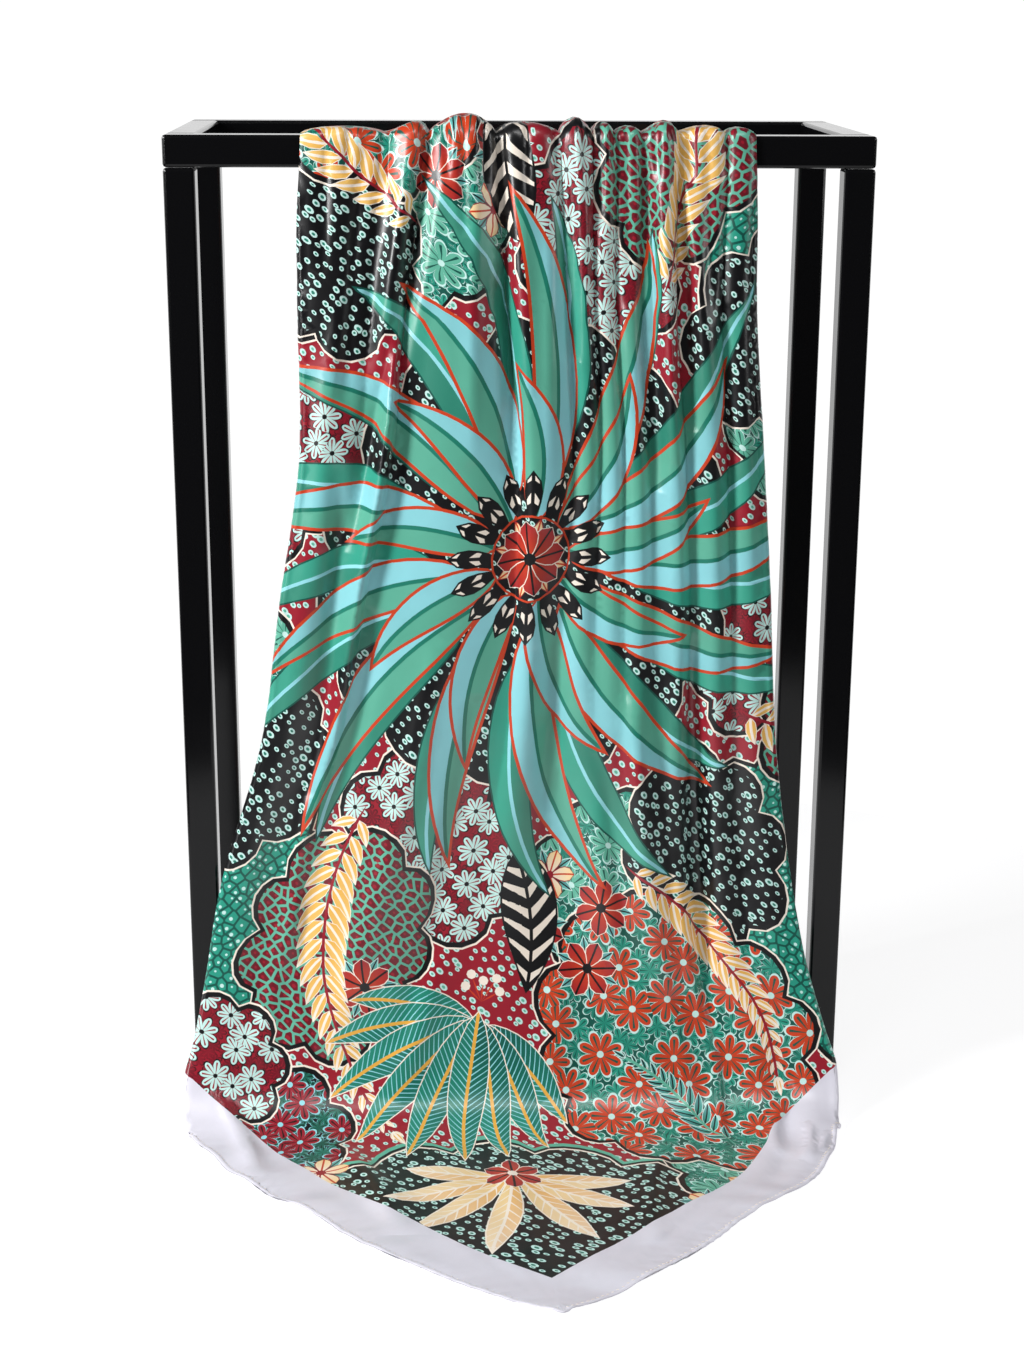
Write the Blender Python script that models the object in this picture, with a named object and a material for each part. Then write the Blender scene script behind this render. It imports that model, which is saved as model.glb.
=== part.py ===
"""A square satin scarf hung by its diagonal over the front rail of an open box stand.

Metres, +Z up. X is across the stand, -Y is its front, and the floor is at Z = 0.
The cloth is followed along its diagonal by its run, the distance from the front corner: the corner
lies on the floor, then the cloth turns up, hangs, goes over the rail and ends in the back corner.
Across the cloth, a share of -1 is its left edge and 1 its right edge.
"""

import math

import bmesh
import bpy
import numpy as np

# Stand: square steel tube
STAND_WIDTH = 0.450
STAND_DEPTH = 0.204
STAND_HEIGHT = 0.660
TUBE = 0.020
TUBE_CORNER = 0.002
CORNER_STEPS = 2
SEAM = 0.0003  # between solids that meet

# Scarf: a hemmed square
SCARF_SIDE = 0.900
DIAGONAL = SCARF_SIDE * math.sqrt(2)
WALL = 0.0015
RAIL_GAP = 0.0005  # between the rail and the cloth's inner face
CLEARANCE = RAIL_GAP + WALL / 2  # from the rail to the middle of the cloth

# Course of the cloth's middle line, seen from the side
TOE_REACH = 0.2985  # from the stand's front to the front corner on the floor
TURN_RADIUS = 0.055  # where the cloth leaves the floor
TURN_ANGLE = math.radians(70)
SWEEP_RADIUS = 0.550  # the slow curve above it
SWEEP_ANGLE = math.radians(20)
OVER_RADIUS = TUBE_CORNER + CLEARANCE

# The corner on the floor: back from the tip, left hem, right hem
TOE = (
    (0.000, 0.0135, 0.0185),
    (0.020, -0.0130, 0.0400),
    (0.050, -0.054, 0.077),
    (0.080, -0.094, 0.107),
    (0.124, -0.133, 0.148),
    (0.160, -0.173, 0.187),
    (0.200, -0.204, 0.209),
    (0.228, -0.222, 0.216),
)

# The hanging front: height, left edge, right edge, radius of the folds at its sides
HANG = (
    (0.005, -0.2250, 0.2170, 0.0010),
    (0.016, -0.2285, 0.2195, 0.0014),
    (0.034, -0.2275, 0.2190, 0.0022),
    (0.057, -0.2220, 0.2130, 0.0028),
    (0.105, -0.2130, 0.1990, 0.0032),
    (0.151, -0.2050, 0.1900, 0.0034),
    (0.264, -0.1725, 0.1745, 0.0042),
    (0.361, -0.1581, 0.1680, 0.0044),
    (0.455, -0.1435, 0.1605, 0.0044),
    (0.558, -0.1426, 0.1520, 0.0040),
    (0.620, -0.1410, 0.1500, 0.0026),
    (0.640, -0.1395, 0.1488, 0.0010),
    (0.660, -0.1384, 0.1478, 0.0010),
)

# The back corner behind the rail: down from the rail's top, left edge, right edge
BACK = (
    (0.000, -0.1384, 0.1478),
    (0.040, -0.1370, 0.1450),
    (0.100, -0.1330, 0.1400),
    (0.135, -0.1270, 0.1330),
    (0.200, -0.0880, 0.0960),
    (0.270, -0.0450, 0.0560),
    (0.320, -0.0150, 0.0290),
    (0.340, -0.0010, 0.0170),
)

# Where the folds below are measured, as heights of the front and drops of the back
TURN_HEIGHT = 0.030
LOW_HEIGHT = 0.170
MIDDLE_HEIGHT = 0.330
HIGH_HEIGHT = 0.510
TOE_RUN = 0.120
BEHIND_DROP = 0.110
CORNER_DROP = 0.300

# Creases between the pleats, as shares of the cloth's width at each level
CREASES = (
    # name, tip, toe, turn, low, middle, high, rail, behind, corner
    ("left edge", -1, -1, -1, -1, -1, -1, -1, -1, -1),
    ("outer left", -0.66, -0.70, -0.80, -0.86, -0.83, -0.74, -0.646, -0.62, -0.60),
    ("deep left", -0.36, -0.42, -0.60, -0.72, -0.66, -0.54, -0.440, -0.42, -0.40),
    ("left of centre", -0.12, -0.12, -0.16, -0.10, -0.05, -0.075, -0.147, -0.15, -0.14),
    ("centre", 0.12, 0.14, 0.20, 0.12, 0.15, 0.187, 0.138, 0.13, 0.12),
    ("short right", 0.28, 0.30, 0.36, 0.30, 0.29, 0.30, 0.278, 0.27, 0.26),
    ("thin right", 0.42, 0.44, 0.50, 0.42, 0.41, 0.40, 0.383, 0.38, 0.38),
    ("long right", 0.56, 0.56, 0.58, 0.53, 0.53, 0.51, 0.501, 0.50, 0.50),
    ("deep right", 0.70, 0.70, 0.66, 0.66, 0.69, 0.67, 0.659, 0.66, 0.66),
    ("outer right", 0.86, 0.86, 0.84, 0.85, 0.86, 0.87, 0.873, 0.87, 0.86),
    ("right edge", 1, 1, 1, 1, 1, 1, 1, 1, 1),
)

# Height of the pleat to the right of each crease but the last, in millimetres
PLEATS = (
    # name, tip, toe, turn, low, middle, high, rail, behind, corner
    ("left side", 0, 0.4, 0.8, 1.0, 2.2, 3.5, 2.5, 3.0, 0),
    ("left ridge", 0, 0.4, 0.8, 1.4, 5.0, 8.5, 6.0, 5.0, 0),
    ("crown", 0, 0.8, 1.5, 2.0, 4.0, 8.0, 11.0, 8.0, 0.3),
    ("centre ridge", 0, 0.5, 1.6, 3.2, 4.6, 7.0, 4.5, 5.0, 0.3),
    ("knob", 0, 0.3, 0.5, 0.6, 1.2, 3.6, 9.0, 6.0, 0),
    ("small knob", 0, 0.3, 0.5, 0.6, 1.0, 2.2, 5.5, 4.0, 0),
    ("dip", 0, 0.4, 1.2, 2.4, 2.0, 3.4, 3.0, 3.0, 0),
    ("right ridge", 0, 0.6, 2.8, 5.0, 3.8, 5.0, 6.5, 5.0, 0),
    ("right roll", 0, 0.6, 3.2, 6.5, 4.6, 4.6, 3.5, 4.0, 0),
    ("right side", 0, 0.4, 1.8, 3.0, 2.6, 3.2, 2.8, 3.0, 0),
)

# How sharp the creases are: 1 is a sharp valley and 2 a soft wave
SHARPNESS = ("creases", 2.0, 2.0, 2.0, 2.0, 1.7, 1.2, 1.0, 1.1, 2.0)

# Wide waves under the pleats: middle and half width as shares, then heights in millimetres
WAVES = (
    # name, middle, half width, tip, toe, turn, low, middle, high, rail, behind, corner
    ("left fall", -0.42, 0.45, 0, 0.3, 3.0, 6.0, 3.0, 0, 0, 1.0, 0.5),
    ("right belly", 0.45, 0.24, 0, 0.4, 4.0, 9.0, 4.0, 0, 0, 2.0, 0.3),
    ("left hip", -1.00, 0.22, 0, 0, 2.5, 4.5, 1.0, 0, 0, 0, 0),
    ("right hip", 1.00, 0.24, 0, 0, 2.5, 4.5, 1.0, 0, 0, 0, 0),
)

# The sides folded in behind the front: height, share of their width that shows, depth behind the
# front, depth where the right one passes behind the left one, height of their waves
FLAPS = (
    (0.005, 1.00, 0.0022, 0.0022, 0.0000),
    (0.020, 0.98, 0.0050, 0.0055, 0.0003),
    (0.060, 0.86, 0.0080, 0.0125, 0.0015),
    (0.150, 0.66, 0.0085, 0.0165, 0.0034),
    (0.264, 0.54, 0.0080, 0.0165, 0.0034),
    (0.361, 0.50, 0.0080, 0.0150, 0.0016),
    (0.500, 0.48, 0.0080, 0.0130, 0.0012),
    (0.600, 0.46, 0.0060, 0.0070, 0.0006),
    (0.640, 0.44, 0.0026, 0.0026, 0.0000),
)
FLAP_WAVES = 3.5  # across one flap
WIDEST_START = 1.2  # most that a tight fold is left open beside the front, in radians
FLAP_START = 0.020  # from where the hem turns in to a flap's first row
FLAP_SETTLE = 0.050  # how far in from its fold a flap reaches its depth
OVERLAP_START = 0.130  # where the right flap starts to pass behind the left one
OVERLAP_END = 0.085
FLOOR_LIFT = 0.0022  # lowest that the middle of a flap comes to the floor

# Rows and columns of the walls
FRONT_COLUMNS = 5  # for each pleat
END_COLUMNS = 3
TOE_ROWS = 10
TURN_ROWS = 7
HANG_ROWS = 22
OVER_ROWS = (1, 3, 2, 3, 1)  # before, on and after the rail's two rounded edges
BACK_ROWS = 14
FLAP_COLUMNS = 10
FOLD_STEPS = 2
PROBE = 1e-4  # step used to find which way the cloth faces
WIDTH_SAMPLES = 161  # for measuring the cloth along its folds
HEIGHT_SAMPLES = 2000

# The origin lies below the middle of the whole object's box
LEFT_REACH = 0.2294
CENTRE_X = (STAND_WIDTH / 2 - LEFT_REACH) / 2
CENTRE_Y = (STAND_DEPTH - TOE_REACH) / 2

MILLIMETRE = 0.001


def clear_scene():
    """Remove every object that the new file starts with."""
    for item in list(bpy.data.objects):
        bpy.data.objects.remove(item, do_unlink=True)


def paint(name, color, roughness, metallic=0.0):
    """A plain finish."""
    material = bpy.data.materials.new(name)
    material.use_nodes = True
    shader = material.node_tree.nodes["Principled BSDF"]
    shader.inputs["Base Color"].default_value = (*color, 1.0)
    shader.inputs["Roughness"].default_value = roughness
    shader.inputs["Metallic"].default_value = metallic
    return material


def through(at, places, values):
    """A smooth curve through the given values, with level ends."""
    places = np.asarray(places, float)
    values = np.asarray(values, float)
    at = np.clip(at, places[0], places[-1])
    slopes = np.gradient(values, places)
    slopes[0] = slopes[-1] = 0.0
    left = np.clip(np.searchsorted(places, at, side="right") - 1, 0, len(places) - 2)
    width = places[left + 1] - places[left]
    t = (at - places[left]) / width
    return (
        values[left] * (1 + 2 * t) * (1 - t) ** 2
        + values[left + 1] * t**2 * (3 - 2 * t)
        + width * (slopes[left] * t * (1 - t) ** 2 - slopes[left + 1] * t**2 * (1 - t))
    )


def ease(value):
    """From 0 to 1 with soft ends."""
    value = np.clip(value, 0.0, 1.0)
    return value * value * (3 - 2 * value)


class Course:
    """The cloth's middle line from the tip to the back corner, in the plane of Y and Z."""

    def __init__(self):
        ground = WALL / 2
        turn_rise = TURN_RADIUS * (1 - math.cos(TURN_ANGLE))
        turn_back = TURN_RADIUS * math.sin(TURN_ANGLE)
        sweep_rise = SWEEP_RADIUS * math.sin(SWEEP_ANGLE)
        sweep_back = SWEEP_RADIUS * (1 - math.cos(SWEEP_ANGLE))
        floor = TOE_REACH - CLEARANCE - turn_back - sweep_back
        hang = STAND_HEIGHT - TUBE_CORNER - ground - turn_rise - sweep_rise
        top = TUBE - 2 * TUBE_CORNER
        quarter = math.pi / 2
        # length, then the angle it turns towards the upright
        self.parts = [
            (floor, 0.0),
            (TURN_RADIUS * TURN_ANGLE, TURN_ANGLE),
            (SWEEP_RADIUS * SWEEP_ANGLE, SWEEP_ANGLE),
            (hang, 0.0),
            (OVER_RADIUS * quarter, -quarter),
            (top, 0.0),
            (OVER_RADIUS * quarter, -quarter),
        ]
        used = sum(length for length, _ in self.parts)
        self.parts.append((DIAGONAL - used, 0.0))
        self.starts = np.cumsum([0.0] + [length for length, _ in self.parts])
        self.floor_end = self.starts[1]
        self.hang_end = self.starts[4]
        self.rail_end = self.starts[7]
        self.knots = self._knots()

    def _knots(self):
        """Place and heading at the start of each stretch."""
        y, z, heading = -TOE_REACH, WALL / 2, 0.0
        knots = [(y, z, heading)]
        for length, angle in self.parts:
            if angle:
                radius = length / angle
                y += radius * (math.sin(heading + angle) - math.sin(heading))
                z -= radius * (math.cos(heading + angle) - math.cos(heading))
            else:
                y += length * math.cos(heading)
                z += length * math.sin(heading)
            heading += angle
            knots.append((y, z, heading))
        return np.array(knots)

    def place(self, run):
        """Y, Z and heading at a run."""
        run = np.asarray(run, float)
        index = np.clip(np.searchsorted(self.starts, run, side="right") - 1, 0, len(self.parts) - 1)
        length = np.array([part[0] for part in self.parts])[index]
        angle = np.array([part[1] for part in self.parts])[index]
        y, z, heading = (self.knots[index, k] for k in range(3))
        along = run - self.starts[index]
        turned = heading + angle * along / length
        straight = angle == 0
        radius = length / np.where(straight, 1.0, angle)
        y = y + np.where(straight, along * np.cos(heading), radius * (np.sin(turned) - np.sin(heading)))
        z = z + np.where(straight, along * np.sin(heading), radius * (np.cos(heading) - np.cos(turned)))
        return y, z, turned

    def run_at_height(self, height):
        """The run at which the front reaches a height."""
        runs = np.linspace(self.floor_end, self.hang_end, HEIGHT_SAMPLES)
        return np.interp(height, self.place(runs)[1], runs)

    def run_at_drop(self, drop):
        """The run at which the back has come down from the rail's top by a distance."""
        return self.rail_end - OVER_RADIUS + drop


COURSE = Course()
RAIL_MIDDLE = (COURSE.hang_end + COURSE.rail_end) / 2
OVER_START = COURSE.run_at_height(STAND_HEIGHT - TUBE - SEAM)
OVER_END = COURSE.run_at_drop(TUBE + SEAM)
HEM_FOLDS = TOE[-1][0]  # the run from which the sides are folded in
LEVEL_RUNS = np.array(
    [
        0.0,
        TOE_RUN,
        COURSE.run_at_height(TURN_HEIGHT),
        COURSE.run_at_height(LOW_HEIGHT),
        COURSE.run_at_height(MIDDLE_HEIGHT),
        COURSE.run_at_height(HIGH_HEIGHT),
        RAIL_MIDDLE,
        COURSE.run_at_drop(BEHIND_DROP),
        COURSE.run_at_drop(CORNER_DROP),
    ]
)


def column(table, index):
    """One column of a table of sections."""
    return np.array([row[index] for row in table])


def edges(run):
    """Left and right edge of the cloth at a run."""
    places = np.concatenate(
        [
            column(TOE, 0)[:-1],
            COURSE.run_at_height(column(HANG, 0)),
            COURSE.run_at_drop(column(BACK, 0)[1:]),
        ]
    )
    sides = []
    for side in (1, 2):
        values = np.concatenate([column(TOE, side)[:-1], column(HANG, side), column(BACK, side)[1:]])
        sides.append(through(run, places, values))
    return sides


def fold_radius(run):
    """Radius of the folds at the cloth's sides."""
    return through(run, COURSE.run_at_height(column(HANG, 0)), column(HANG, 3))


def at_level(row, run, first=1):
    """A value that a table gives for each level, at a run."""
    return through(run, LEVEL_RUNS, row[first:])


def lift(share, run):
    """How far the cloth stands out from its middle line."""
    creases = np.array([at_level(row, run) for row in CREASES])
    heights = np.array([at_level(row, run) for row in PLEATS])
    power = at_level(SHARPNESS, run)
    total = np.zeros(np.broadcast(share, run).shape)
    for index, height in enumerate(heights):
        low, high = creases[index], creases[index + 1]
        across = np.clip((share - low) / (high - low), 0.0, 1.0)
        total = total + height * np.sin(math.pi * across) ** power
    for row in WAVES:
        across = np.clip((share - row[1]) / row[2], -1.0, 1.0)
        total = total + at_level(row, run, 3) * (0.5 + 0.5 * np.cos(math.pi * across))
    return total * MILLIMETRE


def cloth(share, run):
    """A point on the middle of the cloth, where the sides don't turn."""
    share, run = np.broadcast_arrays(np.asarray(share, float), np.asarray(run, float))
    left, right = edges(run)
    radius = np.where((run > HEM_FOLDS) & (run < OVER_START), fold_radius(run), 0.0)
    left, right = left + radius, right - radius
    x = (left + right) / 2 + share * (right - left) / 2
    return out_from_course(x, run, lift(share, run))


def out_from_course(x, run, out):
    """A point at a distance out from the middle line, to the printed side."""
    y, z, heading = COURSE.place(run)
    return np.stack([x, y - out * np.sin(heading), z + out * np.cos(heading)], axis=-1)


def facing(surface, across, along):
    """Unit vectors out of the printed side of a surface."""
    sideways = surface(across + PROBE, along) - surface(across - PROBE, along)
    lengthways = surface(across, along + PROBE) - surface(across, along - PROBE)
    normal = np.cross(sideways, lengthways)
    return normal / np.linalg.norm(normal, axis=-1, keepdims=True)


def shares(run, columns):
    """The columns of the cloth at each run: even between one crease and the next."""
    creases = np.array([at_level(row, run) for row in CREASES])
    places = np.arange((len(CREASES) - 1) * columns + 1) / columns
    return np.array([np.interp(places, np.arange(len(CREASES)), creases[:, i]) for i in range(len(run))])


def folded_side(side, turn, run):
    """A point round the fold at the cloth's side: a turn of 0 is the front, and pi the back."""
    turn, run = np.broadcast_arrays(np.asarray(turn, float), np.asarray(run, float))
    edge = edges(run)[0 if side < 0 else 1]
    radius = fold_radius(run)
    x = edge + side * radius * (np.sin(turn) - 1)
    out = lift(np.full(run.shape, float(side)), run) - radius * (1 - np.cos(turn))
    return out_from_course(x, run, out)


def flat_half(side, run):
    """Width of the cloth from its middle to a side fold, laid flat."""
    steps = np.linspace(0.0, 1.0, WIDTH_SAMPLES)[None, :] * side
    points = cloth(steps, run[:, None])
    spans = np.linalg.norm(np.diff(points, axis=1), axis=-1)
    return spans.sum(axis=1) + fold_radius(run) * math.pi / 2


def flap(side, share, run, width):
    """A point on the side that is folded in behind: a share of 0 is at its fold, 1 at its hem."""
    height = np.clip(COURSE.place(run)[1], FLAPS[0][0], FLAPS[-1][0])
    shown, depth, deeper, wave = (through(height, column(FLAPS, 0), column(FLAPS, k)) for k in (1, 2, 3, 4))
    radius = fold_radius(run)
    inward = share * width
    x = edges(run)[0 if side < 0 else 1] - side * (radius + inward * shown)
    start = lift(np.full(run.shape, float(side)), run) - 2 * radius
    if side > 0:
        crossing = ease((OVERLAP_START - x) / (OVERLAP_START - OVERLAP_END))
        depth = depth + (deeper - depth) * crossing
    settled = ease(inward / FLAP_SETTLE)
    waves = wave * settled * np.sin(math.pi * FLAP_WAVES * share) ** 2
    out = start + (-depth - start) * settled - waves
    points = out_from_course(x, run, out)
    points[..., 2] = np.maximum(points[..., 2], FLOOR_LIFT)
    return points


def body(name, outer, inner, material):
    """A closed wall between two grids of points."""
    mesh = bmesh.new()
    rows, columns = outer.shape[:2]
    offset = np.array([-CENTRE_X, -CENTRE_Y, 0.0])
    grids = [[[mesh.verts.new(p + offset) for p in row] for row in grid] for grid in (outer, inner)]
    for grid in grids:
        for r in range(rows - 1):
            for c in range(columns - 1):
                mesh.faces.new((grid[r][c], grid[r][c + 1], grid[r + 1][c + 1], grid[r + 1][c]))
    rim = [(0, c) for c in range(columns)]
    rim += [(r, columns - 1) for r in range(1, rows)]
    rim += [(rows - 1, c) for c in range(columns - 2, -1, -1)]
    rim += [(r, 0) for r in range(rows - 2, 0, -1)]
    for (r, c), (next_r, next_c) in zip(rim, rim[1:] + rim[:1]):
        near, far = grids
        mesh.faces.new((near[r][c], near[next_r][next_c], far[next_r][next_c], far[r][c]))
    bmesh.ops.triangulate(mesh, faces=mesh.faces)
    bmesh.ops.recalc_face_normals(mesh, faces=mesh.faces)
    data = bpy.data.meshes.new(name)
    mesh.to_mesh(data)
    mesh.free()
    data.materials.append(material)
    data.shade_smooth()
    item = bpy.data.objects.new(name, data)
    bpy.context.collection.objects.link(item)
    return item


def main_stretch(name, runs, columns, material, folded=False):
    """A stretch of the cloth between its edges, with the start of its side folds."""
    across = shares(runs, columns)
    along = np.broadcast_to(runs[:, None], across.shape)
    middle = cloth(across, along)
    normal = facing(cloth, across, along)
    if folded:
        turns = np.linspace(0.0, math.pi / 2, FOLD_STEPS + 1)[1:]
        for side in (-1, 1):
            turned = folded_side(side, turns[None, :], runs[:, None])
            radial = np.stack([fold_normal(side, turn, runs) for turn in turns], axis=1)
            if side < 0:
                middle = np.concatenate([turned[:, ::-1], middle], axis=1)
                normal = np.concatenate([radial[:, ::-1], normal], axis=1)
            else:
                middle = np.concatenate([middle, turned], axis=1)
                normal = np.concatenate([normal, radial], axis=1)
    return body(name, middle + normal * WALL / 2, middle - normal * WALL / 2, material)


def fold_normal(side, turn, runs):
    """Which way the cloth faces on its way round a side fold."""
    heading = COURSE.place(runs)[2]
    turn = np.broadcast_to(turn, heading.shape)
    forward = np.cos(turn)
    return np.stack([side * np.sin(turn), -np.sin(heading) * forward, np.cos(heading) * forward], axis=-1)


def lying_stretch(name, runs, material):
    """The corner on the floor: soft waves above, and flat where it rests."""
    across = shares(runs, END_COLUMNS)
    along = np.broadcast_to(runs[:, None], across.shape)
    middle = cloth(across, along)
    normal = facing(cloth, across, along)
    upper = middle + normal * WALL / 2
    lower = middle - normal * WALL / 2
    lower[..., 2] = np.maximum(lower[..., 2] - WALL, 0.0)
    return body(name, upper, lower, material)


def flap_runs(front):
    """The rows of a flap: those of the front beside it, with one at the corner of the square."""
    runs = front[front > HEM_FOLDS + FLAP_START].copy()
    runs[np.argmin(abs(runs - DIAGONAL / 2))] = DIAGONAL / 2
    runs[-1] = COURSE.run_at_height(STAND_HEIGHT - TUBE - RAIL_GAP - SEAM)
    return runs


def side_flap(name, side, runs, material):
    """One side of the square, folded in behind the front, down to its hem."""
    hem = np.minimum(runs, DIAGONAL - runs)
    width = hem - flat_half(side, runs)

    def surface(share, run):
        return flap(side, share, run, np.interp(run, runs, width))

    across = np.broadcast_to(np.linspace(0.0, 1.0, FLAP_COLUMNS)[None, :], (len(runs), FLAP_COLUMNS))
    along = np.broadcast_to(runs[:, None], across.shape)
    middle = surface(across, along)
    normal = side * facing(surface, across, along)
    start_turn = math.pi / 2 + np.minimum(SEAM / (fold_radius(runs) - WALL / 2), WIDEST_START)
    turned = folded_side(side, start_turn, runs)[:, None]
    radial = fold_normal(side, start_turn, runs)[:, None]
    middle = np.concatenate([turned, middle], axis=1)
    normal = np.concatenate([radial, normal], axis=1)
    return body(name, middle + normal * WALL / 2, middle - normal * WALL / 2, material)


def tube(name, low, high, material):
    """A straight length of square tube between two corners."""
    low = np.array(low)
    high = np.array(high)
    mesh = bmesh.new()
    bmesh.ops.create_cube(mesh, size=1.0)
    bmesh.ops.scale(mesh, vec=tuple(high - low), verts=mesh.verts)
    data = bpy.data.meshes.new(name)
    mesh.to_mesh(data)
    mesh.free()
    data.materials.append(material)
    item = bpy.data.objects.new(name, data)
    item.location = tuple((low + high) / 2 - np.array([CENTRE_X, CENTRE_Y, 0.0]))
    bpy.context.collection.objects.link(item)
    bevel = item.modifiers.new("rounded_edges", "BEVEL")
    bevel.width = TUBE_CORNER
    bevel.segments = CORNER_STEPS
    return item


def stand(material):
    """Four legs under a top frame of four rails."""
    half = STAND_WIDTH / 2
    top = STAND_HEIGHT
    under = top - TUBE
    for name, near in (("front_rail", 0.0), ("back_rail", STAND_DEPTH - TUBE)):
        tube(name, (-half, near, under), (half, near + TUBE, top), material)
    for side_name, outer in (("left", -half), ("right", half - TUBE)):
        start = (outer, TUBE + SEAM, under)
        end = (outer + TUBE, STAND_DEPTH - TUBE - SEAM, top)
        tube(f"{side_name}_rail", start, end, material)
        for end_name, near in (("front", 0.0), ("back", STAND_DEPTH - TUBE)):
            start = (outer, near, 0.0)
            end = (outer + TUBE, near + TUBE, under - SEAM)
            tube(f"{end_name}_{side_name}_leg", start, end, material)


def scarf(material):
    """The stretches of the cloth that show, from the front corner to the back one."""
    toe_end = COURSE.floor_end - SEAM / 2
    lying_stretch("scarf_toe", np.linspace(0.0, toe_end, TOE_ROWS), material)
    turn = np.linspace(toe_end + SEAM, COURSE.starts[2], TURN_ROWS)
    hang = np.linspace(COURSE.starts[2], OVER_START - SEAM / 2, HANG_ROWS + 1)[1:]
    front = np.concatenate([turn, hang])
    main_stretch("scarf_front", front, FRONT_COLUMNS, material, folded=True)
    bends = [OVER_START + SEAM / 2, *COURSE.starts[4:8], OVER_END - SEAM / 2]
    over = [np.linspace(*ends, rows + 1)[1:] for ends, rows in zip(zip(bends, bends[1:]), OVER_ROWS)]
    over = np.concatenate([bends[:1], *over])
    main_stretch("scarf_over_rail", over, FRONT_COLUMNS, material)
    back = np.linspace(OVER_END + SEAM / 2, COURSE.run_at_drop(BACK[-1][0]), BACK_ROWS)
    main_stretch("scarf_back_corner", back, END_COLUMNS, material)
    side_flap("scarf_left_flap", -1, flap_runs(front), material)
    side_flap("scarf_right_flap", 1, flap_runs(front), material)


def main():
    clear_scene()
    stand(paint("black_enamel", (0.010, 0.010, 0.012), 0.32))
    scarf(paint("printed_satin", (0.110, 0.330, 0.290), 0.38))


main()
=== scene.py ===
"""The looks of a printed satin square, hung by its diagonal over the front rail of a box stand.

Metres, +Z up. The cloth is one sheet. It is cut and printed flat, where a point is given by its place
across the diagonal and by its run, the distance along the diagonal from the front corner, and then
every point is hung where it belongs: on the floor, up the front, over the rail, down behind it, and
on the two sides that are folded in behind the front.
"""

import logging
import math
from dataclasses import dataclass, field, replace
from enum import Enum

import bmesh
import bpy
import numpy as np
from mathutils import Matrix, Vector
from mathutils.bvhtree import BVHTree
from mathutils.geometry import delaunay_2d_cdt


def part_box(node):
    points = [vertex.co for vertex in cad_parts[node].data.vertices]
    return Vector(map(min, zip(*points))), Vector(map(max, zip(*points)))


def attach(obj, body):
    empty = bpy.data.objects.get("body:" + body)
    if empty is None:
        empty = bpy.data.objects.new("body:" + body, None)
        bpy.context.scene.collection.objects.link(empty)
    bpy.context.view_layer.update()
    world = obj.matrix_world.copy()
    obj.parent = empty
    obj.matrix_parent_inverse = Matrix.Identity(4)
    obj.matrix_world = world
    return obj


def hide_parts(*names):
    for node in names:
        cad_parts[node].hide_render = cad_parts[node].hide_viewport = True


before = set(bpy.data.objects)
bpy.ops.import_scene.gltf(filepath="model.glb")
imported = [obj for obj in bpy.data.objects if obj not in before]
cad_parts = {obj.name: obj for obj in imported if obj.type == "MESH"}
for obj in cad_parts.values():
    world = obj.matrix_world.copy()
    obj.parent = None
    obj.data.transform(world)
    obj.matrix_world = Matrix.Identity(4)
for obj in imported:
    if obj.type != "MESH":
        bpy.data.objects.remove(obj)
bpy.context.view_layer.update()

LOG = logging.getLogger("scarf")
Array = np.ndarray
Place = tuple[float, float]
Tree = bpy.types.NodeTree
Socket = bpy.types.NodeSocket
MM = 0.001

# The square, as hemmed
SIDE = 0.900
DIAGONAL = SIDE * math.sqrt(2)
REACH = DIAGONAL / 2  # from its middle to a corner
THICKNESS = 0.35 * MM
BORDER = 34 * MM
HEM_WIDTH = 3.4 * MM
HEM_HEIGHT = 1.1 * MM

# The course of the cloth's middle line, seen from the side
RIDE = 1.25 * MM  # from the stand and the floor's stand-in wall to the middle of the cloth
FLOOR_RIDE = 0.75 * MM
TUBE_CORNER = 2 * MM
TOE_REACH = 0.2985  # from the stand's front to the front corner on the floor
TURN_RADIUS = 0.055
TURN_ANGLE = math.radians(70)
SWEEP_RADIUS = 0.550
SWEEP_ANGLE = math.radians(20)
OVER_RADIUS = TUBE_CORNER + RIDE

# The corner on the floor: back from the tip, left hem, right hem
TOE = (
    (0.000, 0.0135, 0.0185),
    (0.020, -0.0130, 0.0400),
    (0.050, -0.054, 0.077),
    (0.080, -0.094, 0.107),
    (0.124, -0.133, 0.148),
    (0.160, -0.173, 0.187),
    (0.200, -0.204, 0.209),
    (0.228, -0.222, 0.216),
)

# The hanging front: height, left edge, right edge, radius of the folds at its sides
HANG = (
    (0.005, -0.2250, 0.2170, 0.0010),
    (0.016, -0.2285, 0.2195, 0.0014),
    (0.034, -0.2275, 0.2190, 0.0022),
    (0.057, -0.2220, 0.2130, 0.0028),
    (0.105, -0.2130, 0.1990, 0.0032),
    (0.151, -0.2050, 0.1900, 0.0034),
    (0.264, -0.1725, 0.1745, 0.0042),
    (0.361, -0.1581, 0.1680, 0.0044),
    (0.455, -0.1435, 0.1605, 0.0044),
    (0.558, -0.1426, 0.1520, 0.0040),
    (0.620, -0.1410, 0.1500, 0.0020),
    (0.638, -0.1395, 0.1488, 0.0004),
    (0.657, -0.1384, 0.1478, 0.0004),
)

# The back corner behind the rail: down from the rail's top, left edge, right edge, fold radius
BACK = (
    (0.000, -0.1384, 0.1478, 0.0004),
    (0.040, -0.1370, 0.1450, 0.0005),
    (0.100, -0.1330, 0.1400, 0.0012),
    (0.135, -0.1270, 0.1330, 0.0016),
    (0.200, -0.0880, 0.0960, 0.0016),
    (0.270, -0.0450, 0.0560, 0.0010),
    (0.320, -0.0150, 0.0290, 0.0004),
    (0.340, -0.0010, 0.0170, 0.0004),
)

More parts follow.
